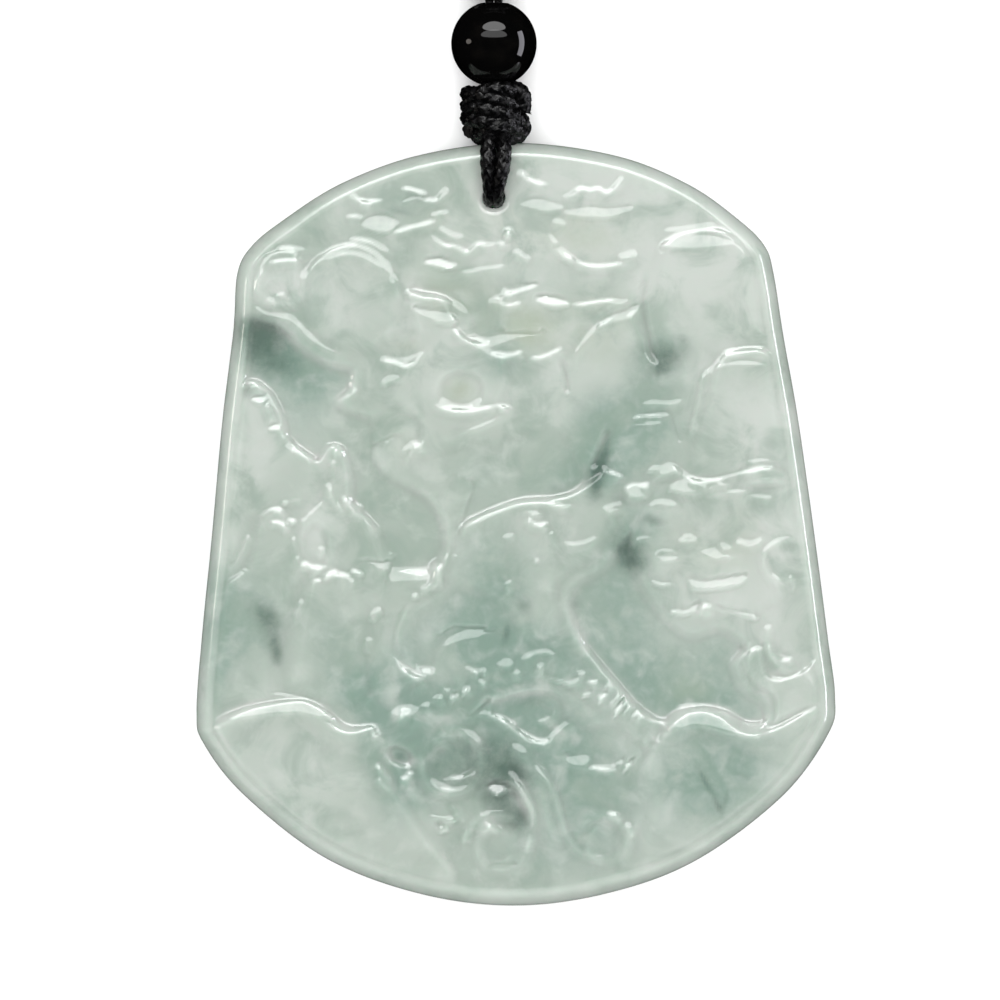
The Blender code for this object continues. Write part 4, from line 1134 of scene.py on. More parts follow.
    def bore_cutter(self) -> bpy.types.Object:
        """Make the cylinder that drills the bore.

        Returns:
            The cylinder.
        """
        deselect()
        place = (self.bore_across, self.bore_up, self.drill_level)
        bpy.ops.mesh.primitive_cylinder_add(vertices=self.bore_sides, radius=self.bore_diameter / 2,
                                            depth=self.drill_length, location=place)
        return bpy.context.object

    def groove_cutter(self) -> bpy.types.Object:
        """Make the round-topped bar that cuts the groove from the bore over the back.

        Returns:
            The bar.
        """
        deselect()
        place = (self.bore_across, self.bore_up + self.groove_length / 2, 0.0)
        size = (self.bore_diameter, self.groove_length, 2 * self.groove_depth)
        bpy.ops.mesh.primitive_cube_add(size=1.0, location=place, scale=size)
        cutter = bpy.context.object
        settle(cutter)
        places = read_places(cutter)
        with edit_mode():
            bpy.ops.mesh.select_mode(type="EDGE")
            bpy.ops.mesh.select_all(action="DESELECT")
        for edge in cutter.data.edges:
            first, second = places[edge.vertices[0]], places[edge.vertices[1]]
            lengthwise = abs(first[0] - second[0]) < MERGE_DISTANCE
            edge.select = bool(min(first[2], second[2]) > 0 and lengthwise)
        with edit_mode():
            bpy.ops.mesh.bevel(offset=self.groove_rounding * self.bore_diameter,
                               segments=self.groove_segments, affect="EDGES")
        return cutter

    def cut(self, piece: bpy.types.Object, cutter: bpy.types.Object) -> None:
        """Cut one solid out of the stone and remove it.

        Args:
            piece: the stone.
            cutter: the solid that is cut out.
        """
        taken = piece.modifiers.new("Cut", "BOOLEAN")
        taken.operation = "DIFFERENCE"
        taken.solver = "EXACT"
        taken.object = cutter
        activate(piece)
        bpy.ops.object.modifier_apply(modifier=taken.name)
        activate(cutter)
        bpy.ops.object.delete()

    def steepness(self, piece: bpy.types.Object, rounds: int = 5) -> Array:
        """Tell how steep the stone is at each point.

        Args:
            piece: the stone.
            rounds: how often it is evened out with the neighbours.

        Returns:
            A value for each point, 0 where it is level and 1 where it is upright.
        """
        normals = np.empty(len(piece.data.vertices) * 3)
        piece.data.vertex_normals.foreach_get("vector", normals)
        steep = 1.0 - np.abs(normals.reshape(-1, 3)[:, 2])
        ends = np.empty(len(piece.data.edges) * 2, dtype=np.int32)
        piece.data.edges.foreach_get("vertices", ends)
        first, second = ends.reshape(-1, 2).T
        count = 1.0 + np.bincount(ends, minlength=len(steep))
        for _ in range(rounds):
            steep = (steep + np.bincount(first, steep[second], len(steep))
                     + np.bincount(second, steep[first], len(steep))) / count
        return steep

    def mark(self, piece: bpy.types.Object, finish: "JadeFinish") -> None:
        """Write the carving's height, its steepness, its rim band and the stone's clouds as attributes of
        the mesh; the material paints shade and light from the first three and from the olive clouds.

        Args:
            piece: the stone.
            finish: the jade's finish, which holds the clouds.
        """
        places = read_places(piece)
        across, down = self.layout.to_units(places[:, 0], places[:, 1])
        front = ease((places[:, 2] - self.front_start) / self.front_reach)
        relief = self.relief(across, down)
        within = ease((self.from_edge(relief) - self.rim_width) / self.rim_blend) * front
        # The rise mark gives painted shade in the hollows and painted light on raised parts; the steep and
        # rim marks give painted light on the walls and along the rim.
        own = {"rise": relief.height * front, "steep": self.steepness(piece) * within,
               "rim": 1.0 - within}
        for name, values in {**own, **finish.marks(across, down)}.items():
            marks = piece.data.attributes.new(name, "FLOAT", "POINT")
            marks.data.foreach_set("value", values.astype(np.float32))


def read_places(piece: bpy.types.Object) -> Array:
    """Read the places of a piece's points.

    Args:
        piece: the piece.

    Returns:
        The places, one row each.
    """
    places = np.empty(len(piece.data.vertices) * 3)
    piece.data.vertices.foreach_get("co", places)
    return places.reshape(-1, 3)


def write_places(piece: bpy.types.Object, places: Array) -> None:
    """Move a piece's points."""
    piece.data.vertices.foreach_set("co", places.ravel())
    piece.data.update()


def selected_corners(piece: bpy.types.Object) -> Array:
    """Find a piece's selected points.

    Args:
        piece: the piece.

    Returns:
        Their indices.
    """
    chosen = np.zeros(len(piece.data.vertices), dtype=bool)
    piece.data.vertices.foreach_get("select", chosen)
    return np.nonzero(chosen)[0]


class Shader:
    """One material's nodes, round a Principled shader that is joined to the output."""

    def __init__(self, name: str) -> None:
        """Start a material.

        Args:
            name: the material's name.
        """
        self.material = bpy.data.materials.new(name)
        self.material.use_nodes = True
        self.tree = self.material.node_tree
        self.surface = next(node for node in self.tree.nodes if node.type == "BSDF_PRINCIPLED")
        self.place = self.tree.nodes.new("ShaderNodeTexCoord").outputs["Object"]

    def set(self, **values: float | Colour) -> None:
        """Set even values on the shader's own sockets.

        Args:
            **values: the values by the sockets' names, with _ for spaces.
        """
        for name, value in values.items():
            socket = self.surface.inputs[name.replace("_", " ")]
            socket.default_value = (*value, 1.0) if socket.type == "RGBA" else value

    def join(self, source: bpy.types.NodeSocket, name: str) -> None:
        """Join a socket to one of the shader's inputs."""
        self.tree.links.new(source, self.surface.inputs[name])

    def attribute(self, name: str) -> bpy.types.NodeSocket:
        """Read a number that is stored on the mesh.

        Args:
            name: the name that it is stored under.

        Returns:
            The number's socket.
        """
        node = self.tree.nodes.new("ShaderNodeAttribute")
        node.attribute_name = name
        return node.outputs["Fac"]

    def noise(self, scale: float, detail: float = 3.0, roughness: float = 0.5,
              distortion: float = 0.0, shift: float = 0.0,
              stretch: Place = (1.0, 1.0, 1.0)) -> bpy.types.NodeSocket:
        """Add fractal noise.

        Args:
            scale: how many features there are to a metre.
            detail: how many finer layers it has.
            roughness: how strong the finer layers are.
            distortion: how much it is swirled.
            shift: moves the pattern, in metres.
            stretch: scale along each axis.

        Returns:
            Its value, about 0.5.
        """
        mapping = self.tree.nodes.new("ShaderNodeMapping")
        mapping.inputs["Location"].default_value = (shift, 0.7 * shift, 0.4 * shift)
        mapping.inputs["Scale"].default_value = stretch
        self.tree.links.new(self.place, mapping.inputs["Vector"])
        node = self.tree.nodes.new("ShaderNodeTexNoise")
        node.inputs["Scale"].default_value = scale
        node.inputs["Detail"].default_value = detail
        node.inputs["Roughness"].default_value = roughness
        node.inputs["Distortion"].default_value = distortion
        self.tree.links.new(mapping.outputs["Vector"], node.inputs["Vector"])
        return node.outputs["Fac"]

    def spread(self, source: bpy.types.NodeSocket, low: float, high: float, start: float = 0.0,
               end: float = 1.0) -> bpy.types.NodeSocket:
        """Map a number to another range, smoothly and held at both ends.

        Args:
            source: the number.
            low: where the change begins.
            high: where it ends.
            start: what low becomes.
            end: what high becomes.

        Returns:
            The mapped number's socket.
        """
        node = self.tree.nodes.new("ShaderNodeMapRange")
        node.interpolation_type = "SMOOTHSTEP"
        for name, value in (("From Min", low), ("From Max", high), ("To Min", start),
                            ("To Max", end)):
            node.inputs[name].default_value = value
        self.tree.links.new(source, node.inputs["Value"])
        return node.outputs["Result"]

    def reckon(self, operation: str, first: bpy.types.NodeSocket,
               second: bpy.types.NodeSocket | float) -> bpy.types.NodeSocket:
        """Combine two numbers.

        Args:
            operation: Blender's name of the operation.
            first: the first number.
            second: the second one, or a fixed value.

        Returns:
            The result's socket.
        """
        node = self.tree.nodes.new("ShaderNodeMath")
        node.operation = operation
        self.tree.links.new(first, node.inputs[0])
        if isinstance(second, float):
            node.inputs[1].default_value = second
        else:
            self.tree.links.new(second, node.inputs[1])
        return node.outputs["Value"]

    def blend(self, share: bpy.types.NodeSocket, first: bpy.types.NodeSocket | Colour,
              second: bpy.types.NodeSocket | Colour) -> bpy.types.NodeSocket:
        """Blend from one colour to another.

        Args:
            share: the second colour's share.
            first: the first colour.
            second: the second colour.

        Returns:
            The blended colour's socket.
        """
        node = self.tree.nodes.new("ShaderNodeMix")
        node.data_type = "RGBA"
        self.tree.links.new(share, node.inputs["Factor"])
        colours = [socket for socket in node.inputs if socket.type == "RGBA"]
        for socket, colour in zip(colours, (first, second)):
            if isinstance(colour, tuple):
                socket.default_value = (*colour, 1.0)
            else:
                self.tree.links.new(colour, socket)
        return next(socket for socket in node.outputs if socket.type == "RGBA")

    def bump(self, height: bpy.types.NodeSocket, distance: float, strength: float) -> None:
        """Give the surface a fine relief.

        Args:
            height: its height, from 0 to 1.
            distance: how much that is in metres.
            strength: how much of it shows.
        """
        node = self.tree.nodes.new("ShaderNodeBump")
        node.inputs["Strength"].default_value = strength
        node.inputs["Distance"].default_value = distance
        self.tree.links.new(height, node.inputs["Height"])
        self.join(node.outputs["Normal"], "Normal")


class Blot(Oval):
    """Cloud in the stone: an oval that fades out, whose rise is its strength."""

    def over(self, across: Array, down: Array, fade: float = 1.6) -> Array:
        """Give its strength at some layout points.

        Args:
            across: units to the right of each point.
            down: units down of each point.
            fade: how quickly it fades from its middle.

        Returns:
            The strength at each point.
        """
        along, aside = self.shares(across, down)
        return self.rise * np.exp(-fade * (along ** 2 + aside ** 2))


def blots(*rows: tuple[float, ...]) -> tuple[Blot, ...]:
    """Give a cloud for each row of middle, half length, half width, turn and strength."""
    return tuple(Blot(*row) for row in rows)


@dataclass(frozen=True)
class JadeFinish:
    """Polished, milky, pale grey-green jade with darker green clouds and veins."""

    # The pale colour is painted light on raised parts and the deep colour painted shade in the hollows, as
    # if the stone glowed where it is thick; the deep colour is also used as a random darker tone.
    pale: Colour = (0.345, 0.390, 0.350)
    milky: Colour = (0.452, 0.482, 0.452)
    deep_tone_and_hollow_shade: Colour = (0.225, 0.290, 0.245)
    green: Colour = (0.165, 0.245, 0.205)
    yellowish: Colour = (0.300, 0.345, 0.270)
    dark: Colour = (0.055, 0.092, 0.074)
    clouds: tuple[Blot, ...] = blots(
        (262, 330, 32, 20, 14, 0.95), (262, 354, 36, 30, 30, 0.6), (296, 368, 46, 24, 25, 0.28),
        (247, 392, 9, 12, 0, 0.4), (270, 630, 36, 18, 75, 0.5), (262, 612, 30, 16, 30, 0.34),
        (276, 654, 18, 8, 80, 0.45), (212, 622, 8, 26, 0, 0.3), (662, 352, 30, 17, 10, 0.55),
        (660, 372, 16, 9, -20, 0.4), (684, 340, 14, 8, 60, 0.3), (626, 548, 27, 19, 60, 0.5),
        (634, 562, 22, 16, 60, 0.3), (606, 446, 26, 6, 110, 0.55), (622, 500, 16, 12, 0, 0.4),
        (600, 478, 36, 10, 112, 0.4), (590, 470, 18, 12, 0, 0.3), (652, 520, 20, 9, 20, 0.4),
        (596, 492, 16, 10, 60, 0.4), (506, 634, 16, 6, 100, 0.55), (524, 606, 14, 12, 60, 0.4),
        (575, 604, 14, 10, 0, 0.35), (470, 762, 66, 34, 20, 0.40), (596, 468, 30, 10, 118, 0.42),
        (562, 489, 30, 9, -15, 0.35), (630, 556, 34, 24, 60, 0.30), (655, 362, 40, 20, -10, 0.25),
        (505, 755, 60, 26, 40, 0.4), (500, 795, 34, 30, 60, 0.55), (520, 822, 20, 18, 0, 0.5),
        (440, 780, 50, 26, 20, 0.3), (514, 772, 20, 8, 20, 0.5), (530, 700, 30, 12, 0, 0.35),
        (745, 650, 10, 14, 0, 0.3), (757, 690, 10, 14, 0, 0.3), (400, 755, 12, 9, 0, 0.4),
        (272, 788, 20, 8, 60, 0.25), (420, 198, 24, 8, 20, 0.45), (400, 212, 22, 6, 10, 0.35),
        (360, 222, 22, 7, 10, 0.25), (705, 780, 22, 5, 62, 0.6), (718, 806, 14, 5, 70, 0.5),
        (726, 800, 24, 4, 100, 0.35), (744, 776, 14, 4, 20, 0.35), (678, 852, 14, 5, -20, 0.3),
    )
    greens: tuple[Blot, ...] = blots(
        (498, 358, 36, 26, 0, 0.4), (594, 420, 36, 40, 0, 0.6), (560, 750, 44, 50, 0, 0.4),
        (500, 712, 50, 22, 0, 0.5), (402, 800, 40, 50, 0, 0.4), (212, 620, 18, 60, 0, 0.5),
        (262, 400, 20, 20, 0, 0.4), (500, 640, 50, 40, 0, 0.7), (600, 474, 30, 24, 0, 0.6),
        (402, 740, 50, 80, 0, 0.7), (706, 706, 60, 34, 0, 0.8), (504, 590, 40, 30, 0, 0.4),
        (270, 350, 50, 34, 0, 0.6), (500, 365, 40, 30, 0, 0.5), (215, 620, 24, 80, 0, 0.6),
        (402, 665, 26, 40, 0, 0.7), (300, 410, 40, 44, 0, 0.5), (400, 740, 44, 40, 0, 0.8),
        (640, 530, 44, 40, 0, 0.6), (600, 800, 70, 50, 0, 0.5), (720, 655, 50, 44, 0, 0.6),
        (594, 460, 40, 30, 0, 0.6), (500, 655, 50, 24, 0, 0.6), (690, 780, 60, 60, 0, 0.4),
        (300, 368, 70, 36, 20, 0.8), (250, 620, 44, 80, 0, 0.75), (330, 640, 40, 60, 0, 0.55),
        (455, 625, 60, 42, 0, 0.65), (366, 690, 44, 34, 0, 1.0), (560, 650, 46, 40, 0, 0.7),
        (640, 410, 60, 50, -30, 0.6), (560, 480, 50, 30, -20, 0.5), (490, 560, 60, 60, 0, 0.6),
        (620, 600, 60, 90, -30, 0.8), (640, 680, 60, 40, 30, 0.7), (650, 450, 50, 60, 20, 0.55),
        (510, 740, 150, 80, 0, 0.9), (560, 850, 110, 50, 0, 0.6), (730, 770, 80, 60, -40, 0.9),
        (660, 350, 50, 40, 0, 0.6), (400, 200, 60, 34, 0, 0.55), (300, 850, 60, 30, 40, 0.4),
        (480, 470, 60, 40, -20, 0.35), (350, 540, 50, 60, 0, 0.2), (215, 700, 20, 60, 0, 0.4),
        (480, 690, 110, 26, -10, 0.5),
    )
    whites: tuple[Blot, ...] = blots(
        # The strong white cloud at the right edge is partly milky stone and partly painted light, lifting
        # the edge where it looks bright under the lamps.
        (785, 455, 34, 80, 0, 1.5), (560, 235, 70, 30, 0, 0.9), (306, 292, 34, 30, 0, 0.8),
        (740, 285, 40, 40, 0, 0.6), (645, 285, 40, 34, 0, 0.6), (620, 210, 150, 70, 10, 1.3),
        (700, 240, 60, 50, 0, 0.7), (500, 220, 80, 60, 0, 0.6), (380, 500, 50, 90, 0, 0.35),
        (340, 290, 70, 60, 0, 0.6), (275, 285, 40, 40, 0, 0.7), (440, 370, 90, 60, -10, 0.6),
        (720, 300, 70, 80, 0, 0.8), (735, 420, 60, 60, 0, 0.8), (780, 560, 50, 110, 0, 0.7),
        (700, 590, 60, 50, 0, 0.7), (318, 530, 30, 60, 0, 0.9), (255, 450, 40, 70, 0, 0.7),
        (300, 770, 90, 60, 30, 0.6), (420, 830, 60, 40, 30, 0.4), (650, 820, 60, 30, -30, 0.5),
        (560, 190, 110, 30, 0, 0.4), (390, 660, 20, 60, 0, 0.5), (590, 560, 16, 30, 20, 0.4),
        (480, 230, 60, 30, 0, 0.3),
    )
    # Olive clouds: partly the stone's own tone, partly painted shade laid in the carved pits and hollows.
    olive_tone_and_pit_shade: tuple[Blot, ...] = blots(
        (460, 300, 70, 40, 20, 0.7), (460, 390, 26, 20, 0, 0.9), (403, 345, 30, 18, 0, 0.6),
        (530, 330, 50, 34, 0, 0.7), (580, 230, 90, 44, 0, 0.6), (600, 330, 60, 60, 0, 0.5),
        (400, 440, 40, 50, 0, 0.35), (720, 540, 80, 70, 0, 0.5), (690, 690, 40, 30, 0, 0.6),
        (340, 280, 50, 40, 0, 0.2), (730, 300, 60, 60, 0, 0.3), (460, 215, 80, 40, 0, 0.4),
    )

    @staticmethod
    def total(blots: Sequence[Blot], across: Array, down: Array) -> Array:
        """Add up some clouds at some layout points."""
        return sum(blot.over(across, down) for blot in blots)

    def marks(self, across: Array, down: Array) -> dict[str, Array]:
        """Give every kind of cloud at some layout points.

        Args:
            across: units to the right of each point.
            down: units down of each point.

        Returns:
            The strengths by the name of their attribute.
        """
        kinds = {"cloud": self.clouds, "green": self.greens, "white": self.whites,
                 "olive_and_pit_shade": self.olive_tone_and_pit_shade}
        return {name: self.total(blots, across, down) for name, blots in kinds.items()}

    def material(self) -> bpy.types.Material:
        """Make the stone's material.

        Returns:
            The material.
        """
        shader = Shader("polished jade")
        broad = shader.noise(scale=85.0, distortion=0.4)
        middle = shader.noise(scale=260.0, detail=4.0, roughness=0.55, distortion=0.6, shift=0.1)
        patches = shader.noise(scale=480.0, distortion=0.3, shift=0.4)
        fine = shader.noise(scale=1500.0, roughness=0.6, distortion=0.2, shift=0.2)
        flecks = shader.reckon("MULTIPLY", fine, 0.5)
        ragged = shader.reckon("ADD", shader.reckon("MULTIPLY", middle, 1.1), flecks)
        uneven = shader.reckon("ADD", shader.reckon("MULTIPLY", patches, 1.2), flecks)

        def marked(name: str, share: bpy.types.NodeSocket) -> bpy.types.NodeSocket:
            """Give a mark on the mesh, broken up by a noise."""
            return shader.reckon("MULTIPLY", shader.attribute(name), share)

        # Painted shade and light by height: hollows blend towards the deep colour, raised parts towards the
        # pale one.
        high = shader.spread(shader.attribute("rise"), low=-0.40, high=0.20, start=0.45)
        colour = shader.blend(high, self.deep_tone_and_hollow_shade, self.pale)
        for source, low, top, most, tone in (
                (broad, 0.44, 0.68, 0.45, self.milky),
                (marked("green", uneven), 0.08, 1.0, 0.85, self.green),
                (marked("white", ragged), 0.08, 1.0, 0.85, self.milky),
                (marked("olive_and_pit_shade", ragged), 0.08, 1.0, 0.75, self.yellowish),
                (middle, 0.56, 0.30, 0.6, self.deep_tone_and_hollow_shade),
                (patches, 0.45, 0.78, 0.55, self.milky),
                # Painted light: steep walls of the carving are whitened, as if lit through the thin stone.
                (marked("steep", uneven), 0.005, 0.16, 0.75, self.milky),
                # Painted light: the band along the rim is whitened, as if lit through the stone's edge.
                (marked("rim", uneven), 0.2, 1.0, 0.4, self.milky),
                (marked("cloud", ragged), 0.02, 0.85, 0.78, self.dark)):
            share = shader.spread(source, low=low, high=top, end=most)
            colour = shader.blend(share, colour, tone)
        shader.join(colour, "Base Color")
        shader.set(Roughness=0.03, IOR=1.66, Subsurface_Weight=0.85, Subsurface_Scale=0.0020,
                   Coat_Weight=0.25, Coat_Roughness=0.02)
        shader.surface.inputs["Subsurface Radius"].default_value = (0.75, 1.0, 0.85)
        waves = shader.noise(scale=420.0, detail=2.0, roughness=0.4, shift=0.3)
        shader.bump(waves, distance=0.00003, strength=0.5)
        return shader.material


@dataclass(frozen=True)
class CordFinish:
    """Black braided nylon cord with a soft sheen on its filaments."""

    colour: Colour = (0.0008, 0.0008, 0.0009)
    worn: Colour = (0.0045, 0.0045, 0.0050)

    def material(self) -> bpy.types.Material:
        """Make the cord's material.

        Returns:
            The material.
        """
        shader = Shader("black braided cord")
        wear = shader.spread(shader.noise(scale=2600.0, detail=2.0), low=0.50, high=0.78)
        shader.join(shader.blend(wear, self.colour, self.worn), "Base Color")
        wax = shader.noise(scale=3400.0, detail=2.0, shift=0.1)
        shader.join(shader.spread(wax, low=0.35, high=0.65, start=0.16, end=0.45), "Roughness")
        shader.set(Specular_IOR_Level=0.26)
        filaments = shader.noise(scale=11000.0, detail=1.0, stretch=(1.0, 0.3, 1.0))
        shader.bump(filaments, distance=0.00005, strength=0.7)
        return shader.material


@dataclass(frozen=True)
class BeadFinish:
    """Black polished stone."""

    colour: Colour = (0.0010, 0.0010, 0.0010)
    warmer: Colour = (0.0022, 0.0020, 0.0018)

    def material(self) -> bpy.types.Material:
        """Make the bead's material.

        Returns:
            The material.
        """
        shader = Shader("polished black stone")
        warmth = shader.spread(shader.noise(scale=500.0), low=0.45, high=0.7)
        shader.join(shader.blend(warmth, self.colour, self.warmer), "Base Color")
        shader.set(Roughness=0.03, IOR=1.5, Specular_IOR_Level=0.3)
        shader.bump(shader.noise(scale=700.0, detail=2.0), distance=0.00002, strength=0.25)
        return shader.material


@dataclass(frozen=True)
class FloorFinish:
    """Matt white paper."""

    colour: Colour = (0.93, 0.93, 0.93)
    shaded: Colour = (0.92, 0.92, 0.92)

    def material(self) -> bpy.types.Material:
        """Make the floor's material.

        Returns:
            The material.
        """
        shader = Shader("matt white paper")
        shader.join(shader.blend(shader.noise(scale=30.0), self.colour, self.shaded), "Base Color")
        shader.set(Roughness=0.9, Specular_IOR_Level=0.1)
        return shader.material


@dataclass(frozen=True)
class Braid:
    """Round braid of eight strands: its diameter, how long a crossing is, and its mesh's steps."""

    diameter: float = 0.0012
    crossing: float = 0.0009
    depth: float = 0.24
    strands: int = 4
    crown: float = 1.45
    weave: float = 0.45
    sides: int = 24
    step: float = 0.00009

    def tube(self, name: str, route: Array, swell: Callable[[Array], Array] | None = None,
             turn: float = 0.0) -> bpy.types.Object:
        """Make a braided cord along a route, closed at both ends.

        Args:
            name: the piece's name.
            route: points of its centreline in metres.
            swell: share of the full thickness at shares of its length; none for an even cord.
            turn: how far the braid is turned about the cord, in radians.

        Returns:
            The cord as a mesh.
        """
        line = even_line(route, self.step)
        curve = bpy.data.curves.new(name, "CURVE")
        curve.dimensions = "3D"
        curve.bevel_depth = self.diameter / 2
        curve.bevel_resolution = (self.sides - 4) // 2
        curve.use_fill_caps = True
        spline = curve.splines.new("POLY")
        spline.points.add(len(line) - 1)
        spline.points.foreach_set("co", np.column_stack([line, np.ones(len(line))]).ravel())
        piece = bpy.data.objects.new(name, curve)
        bpy.context.scene.collection.objects.link(piece)
        activate(piece)
        bpy.ops.object.convert(target="MESH")
        piece = bpy.context.object
        self.plait(piece, line, swell, turn)
        with edit_mode():
            bpy.ops.mesh.select_all(action="SELECT")
            bpy.ops.mesh.remove_doubles(threshold=MERGE_DISTANCE)
            face_outwards()
        bpy.ops.object.shade_smooth()
        return piece

    def plait(self, piece: bpy.types.Object, line: Array, swell: Callable[[Array], Array] | None,
              turn: float) -> None:
        """Raise the strands of the braid over a round tube's rings of points.

        Args:
            piece: the tube, one ring for each point of its line.
            line: its centreline.
            swell: share of the full thickness at shares of its length; none for an even cord.
            turn: how far the braid is turned about the cord, in radians.
        """
        places = read_places(piece)
        rings = len(line)
        sides = len(places) // rings
        grid = places[:rings * sides].reshape(rings, sides, 3)
        spokes = grid - line[:, None, :]
        angle = turn + 2 * math.pi * np.arange(sides)[None, :] / sides
        runs = run_lengths(line)[:, None]
        wind = 2 * math.pi * runs / self.crossing
        over = self.weave * np.cos(self.strands * angle)
        first = np.abs(np.cos((self.strands * angle + wind) / 2)) + over
        second = np.abs(np.cos((self.strands * angle - wind) / 2)) - over
        height = np.maximum(first, second)
        scale = 1.0 + self.depth * (height - self.crown)
        if swell is not None:
            scale = scale * swell(runs / runs[-1])
        grid[:] = line[:, None, :] + spokes * scale[:, :, None]
        write_places(piece, places)


@dataclass
class Bead:
    """Round bead that is threaded on the cord."""

    middle: Vector
    diameter: float
    bore: float = 0.0020
    meridians: int = 96
    rings: int = 64
    wall_cuts: int = 6
    smooth_under: float = 40.0

    def build(self, finish: BeadFinish) -> bpy.types.Object:
        """Make the bead from a sphere whose poles are opened and joined by the bore's wall.

        Args:
            finish: the bead's finish.

        Returns:
            The finished piece.
        """
        deselect()
        bpy.ops.mesh.primitive_uv_sphere_add(segments=self.meridians, ring_count=self.rings,
                                             radius=self.diameter / 2)
        piece = bpy.context.object
        piece.name = "black_bead"
        with edit_mode():
            bpy.ops.mesh.select_mode(type="VERT")
            bpy.ops.mesh.select_all(action="DESELECT")
        places = read_places(piece)
        within = np.hypot(places[:, 0], places[:, 1]) < self.bore / 2
        piece.data.vertices.foreach_set("select", within)
        with edit_mode():
            bpy.ops.mesh.delete(type="VERT")
            bpy.ops.mesh.select_all(action="SELECT")
            bpy.ops.mesh.region_to_loop()
            bpy.ops.mesh.bridge_edge_loops(number_cuts=self.wall_cuts)
            face_outwards()
        piece.rotation_euler = (math.radians(90), 0.0, 0.0)
        piece.location = self.middle
        settle(piece)
        bpy.ops.object.shade_smooth_by_angle(angle=math.radians(self.smooth_under))
        finish_piece(piece, finish.material(), ("bead",))
        return piece


@dataclass(frozen=True)
class Winding:
    """Strand wound round the cord in a knot: sizes in metres, start in degrees from +X to +Z."""

    up: float
    level: float
    radius: float
    climb: float
    turns: float
    start: float
    lean: float
    steps_a_turn: int = 24

    def route(self, across: float) -> Array:
        """Give the strand's centreline.

        Args:
            across: the cord's place from left to right.

        Returns:
            Places in metres, one row each.
        """
        share = np.linspace(0.0, 1.0, round(self.turns * self.steps_a_turn))
        angle = np.radians(self.start) + 2 * math.pi * self.turns * share
        x = self.radius * np.cos(angle)
        y = self.up + self.climb * (share - 0.5) - self.lean * np.cos(angle)
        return np.column_stack([across + x, y, self.level + self.radius * np.sin(angle)])


# Routes of the fastening's strands: layout units to the right and down, and levels in millimetres
HANGING_LEFT = ((489.0, 137.5, 4.6), (488.0, 146, 5.35), (487.8, 158, 5.85), (488.0, 172, 6.0),
                (488.6, 184, 5.95), (489.3, 195, 5.7), (489.6, 201.5, 5.0), (489.8, 203, 3.6),
                (489.8, 201, 2.2), (489.6, 195, 1.0), (489.0, 188, 0.68), (488.6, 170, 0.66),
                (488.6, 140, 0.66))
HANGING_RIGHT = ((502.5, 137.5, 4.6), (503.6, 146, 5.4), (503.4, 158, 5.95), (502.0, 172, 6.15),
                 (499.4, 185, 6.1), (497.6, 196, 5.8), (497.2, 202, 5.0), (498.0, 203, 3.6),
                 (498.2, 201, 2.2), (498.4, 195, 1.0), (499.0, 188, 0.68), (499.2, 170, 0.66),
                 (499.2, 140, 0.66))
CORE_LEFT = ((486, 142, 2.2), (488, 120, 2.6), (490, 100, 2.8), (494, 86, 3.1))
CORE_RIGHT = ((503, 142, 2.6), (501, 122, 2.8), (498, 104, 2.8), (494, 86, 3.1))
LOW_BIGHT = ((478, 134, 3.0), (488, 131, 4.4), (500, 127, 4.75), (513, 121, 4.1), (521, 120, 3.2),
             (523, 127, 2.7), (518, 134, 3.0), (508, 137, 3.6), (499, 138, 3.2))
HIGH_BIGHT = ((468, 108, 3.2), (474, 97, 3.9), (486, 91, 4.5), (500, 89, 4.6), (511, 91, 4.2),
              (519, 96, 3.6))
LONG_END = ((506, 90, 3.4), (515, 89, 3.9), (521.5, 94, 4.0), (523, 102, 3.9), (522.6, 112, 3.8))
SHORT_END = ((490, 134, 2.2), (481, 134, 2.9), (477, 138, 3.2))

# The upper knot's inner strands: aside from the cord, along it and over its level, in metres
UPPER_CORE = ((0.0004, -0.0019, 0.0003), (0.0006, 0.0, 0.0), (0.0007, 0.0022, 0.0))


@dataclass(frozen=True)
class Taper:
    """Change of a strand's thickness, as shares of the full one, at a share of its length."""

    before: float
    after: float
    start: float
    reach: float

    def __call__(self, share: Array) -> Array:
        """Give the thickness at some shares of the length."""
        return self.before + (self.after - self.before) * ease((share - self.start) / self.reach)


# The hanging strands are pulled thin into the bore, and the cord's cut end is melted
PULLED = Taper(before=1.0, after=0.74, start=0.16, reach=0.2)
MELTED = Taper(before=1.06, after=0.96, start=0.9, reach=0.1)


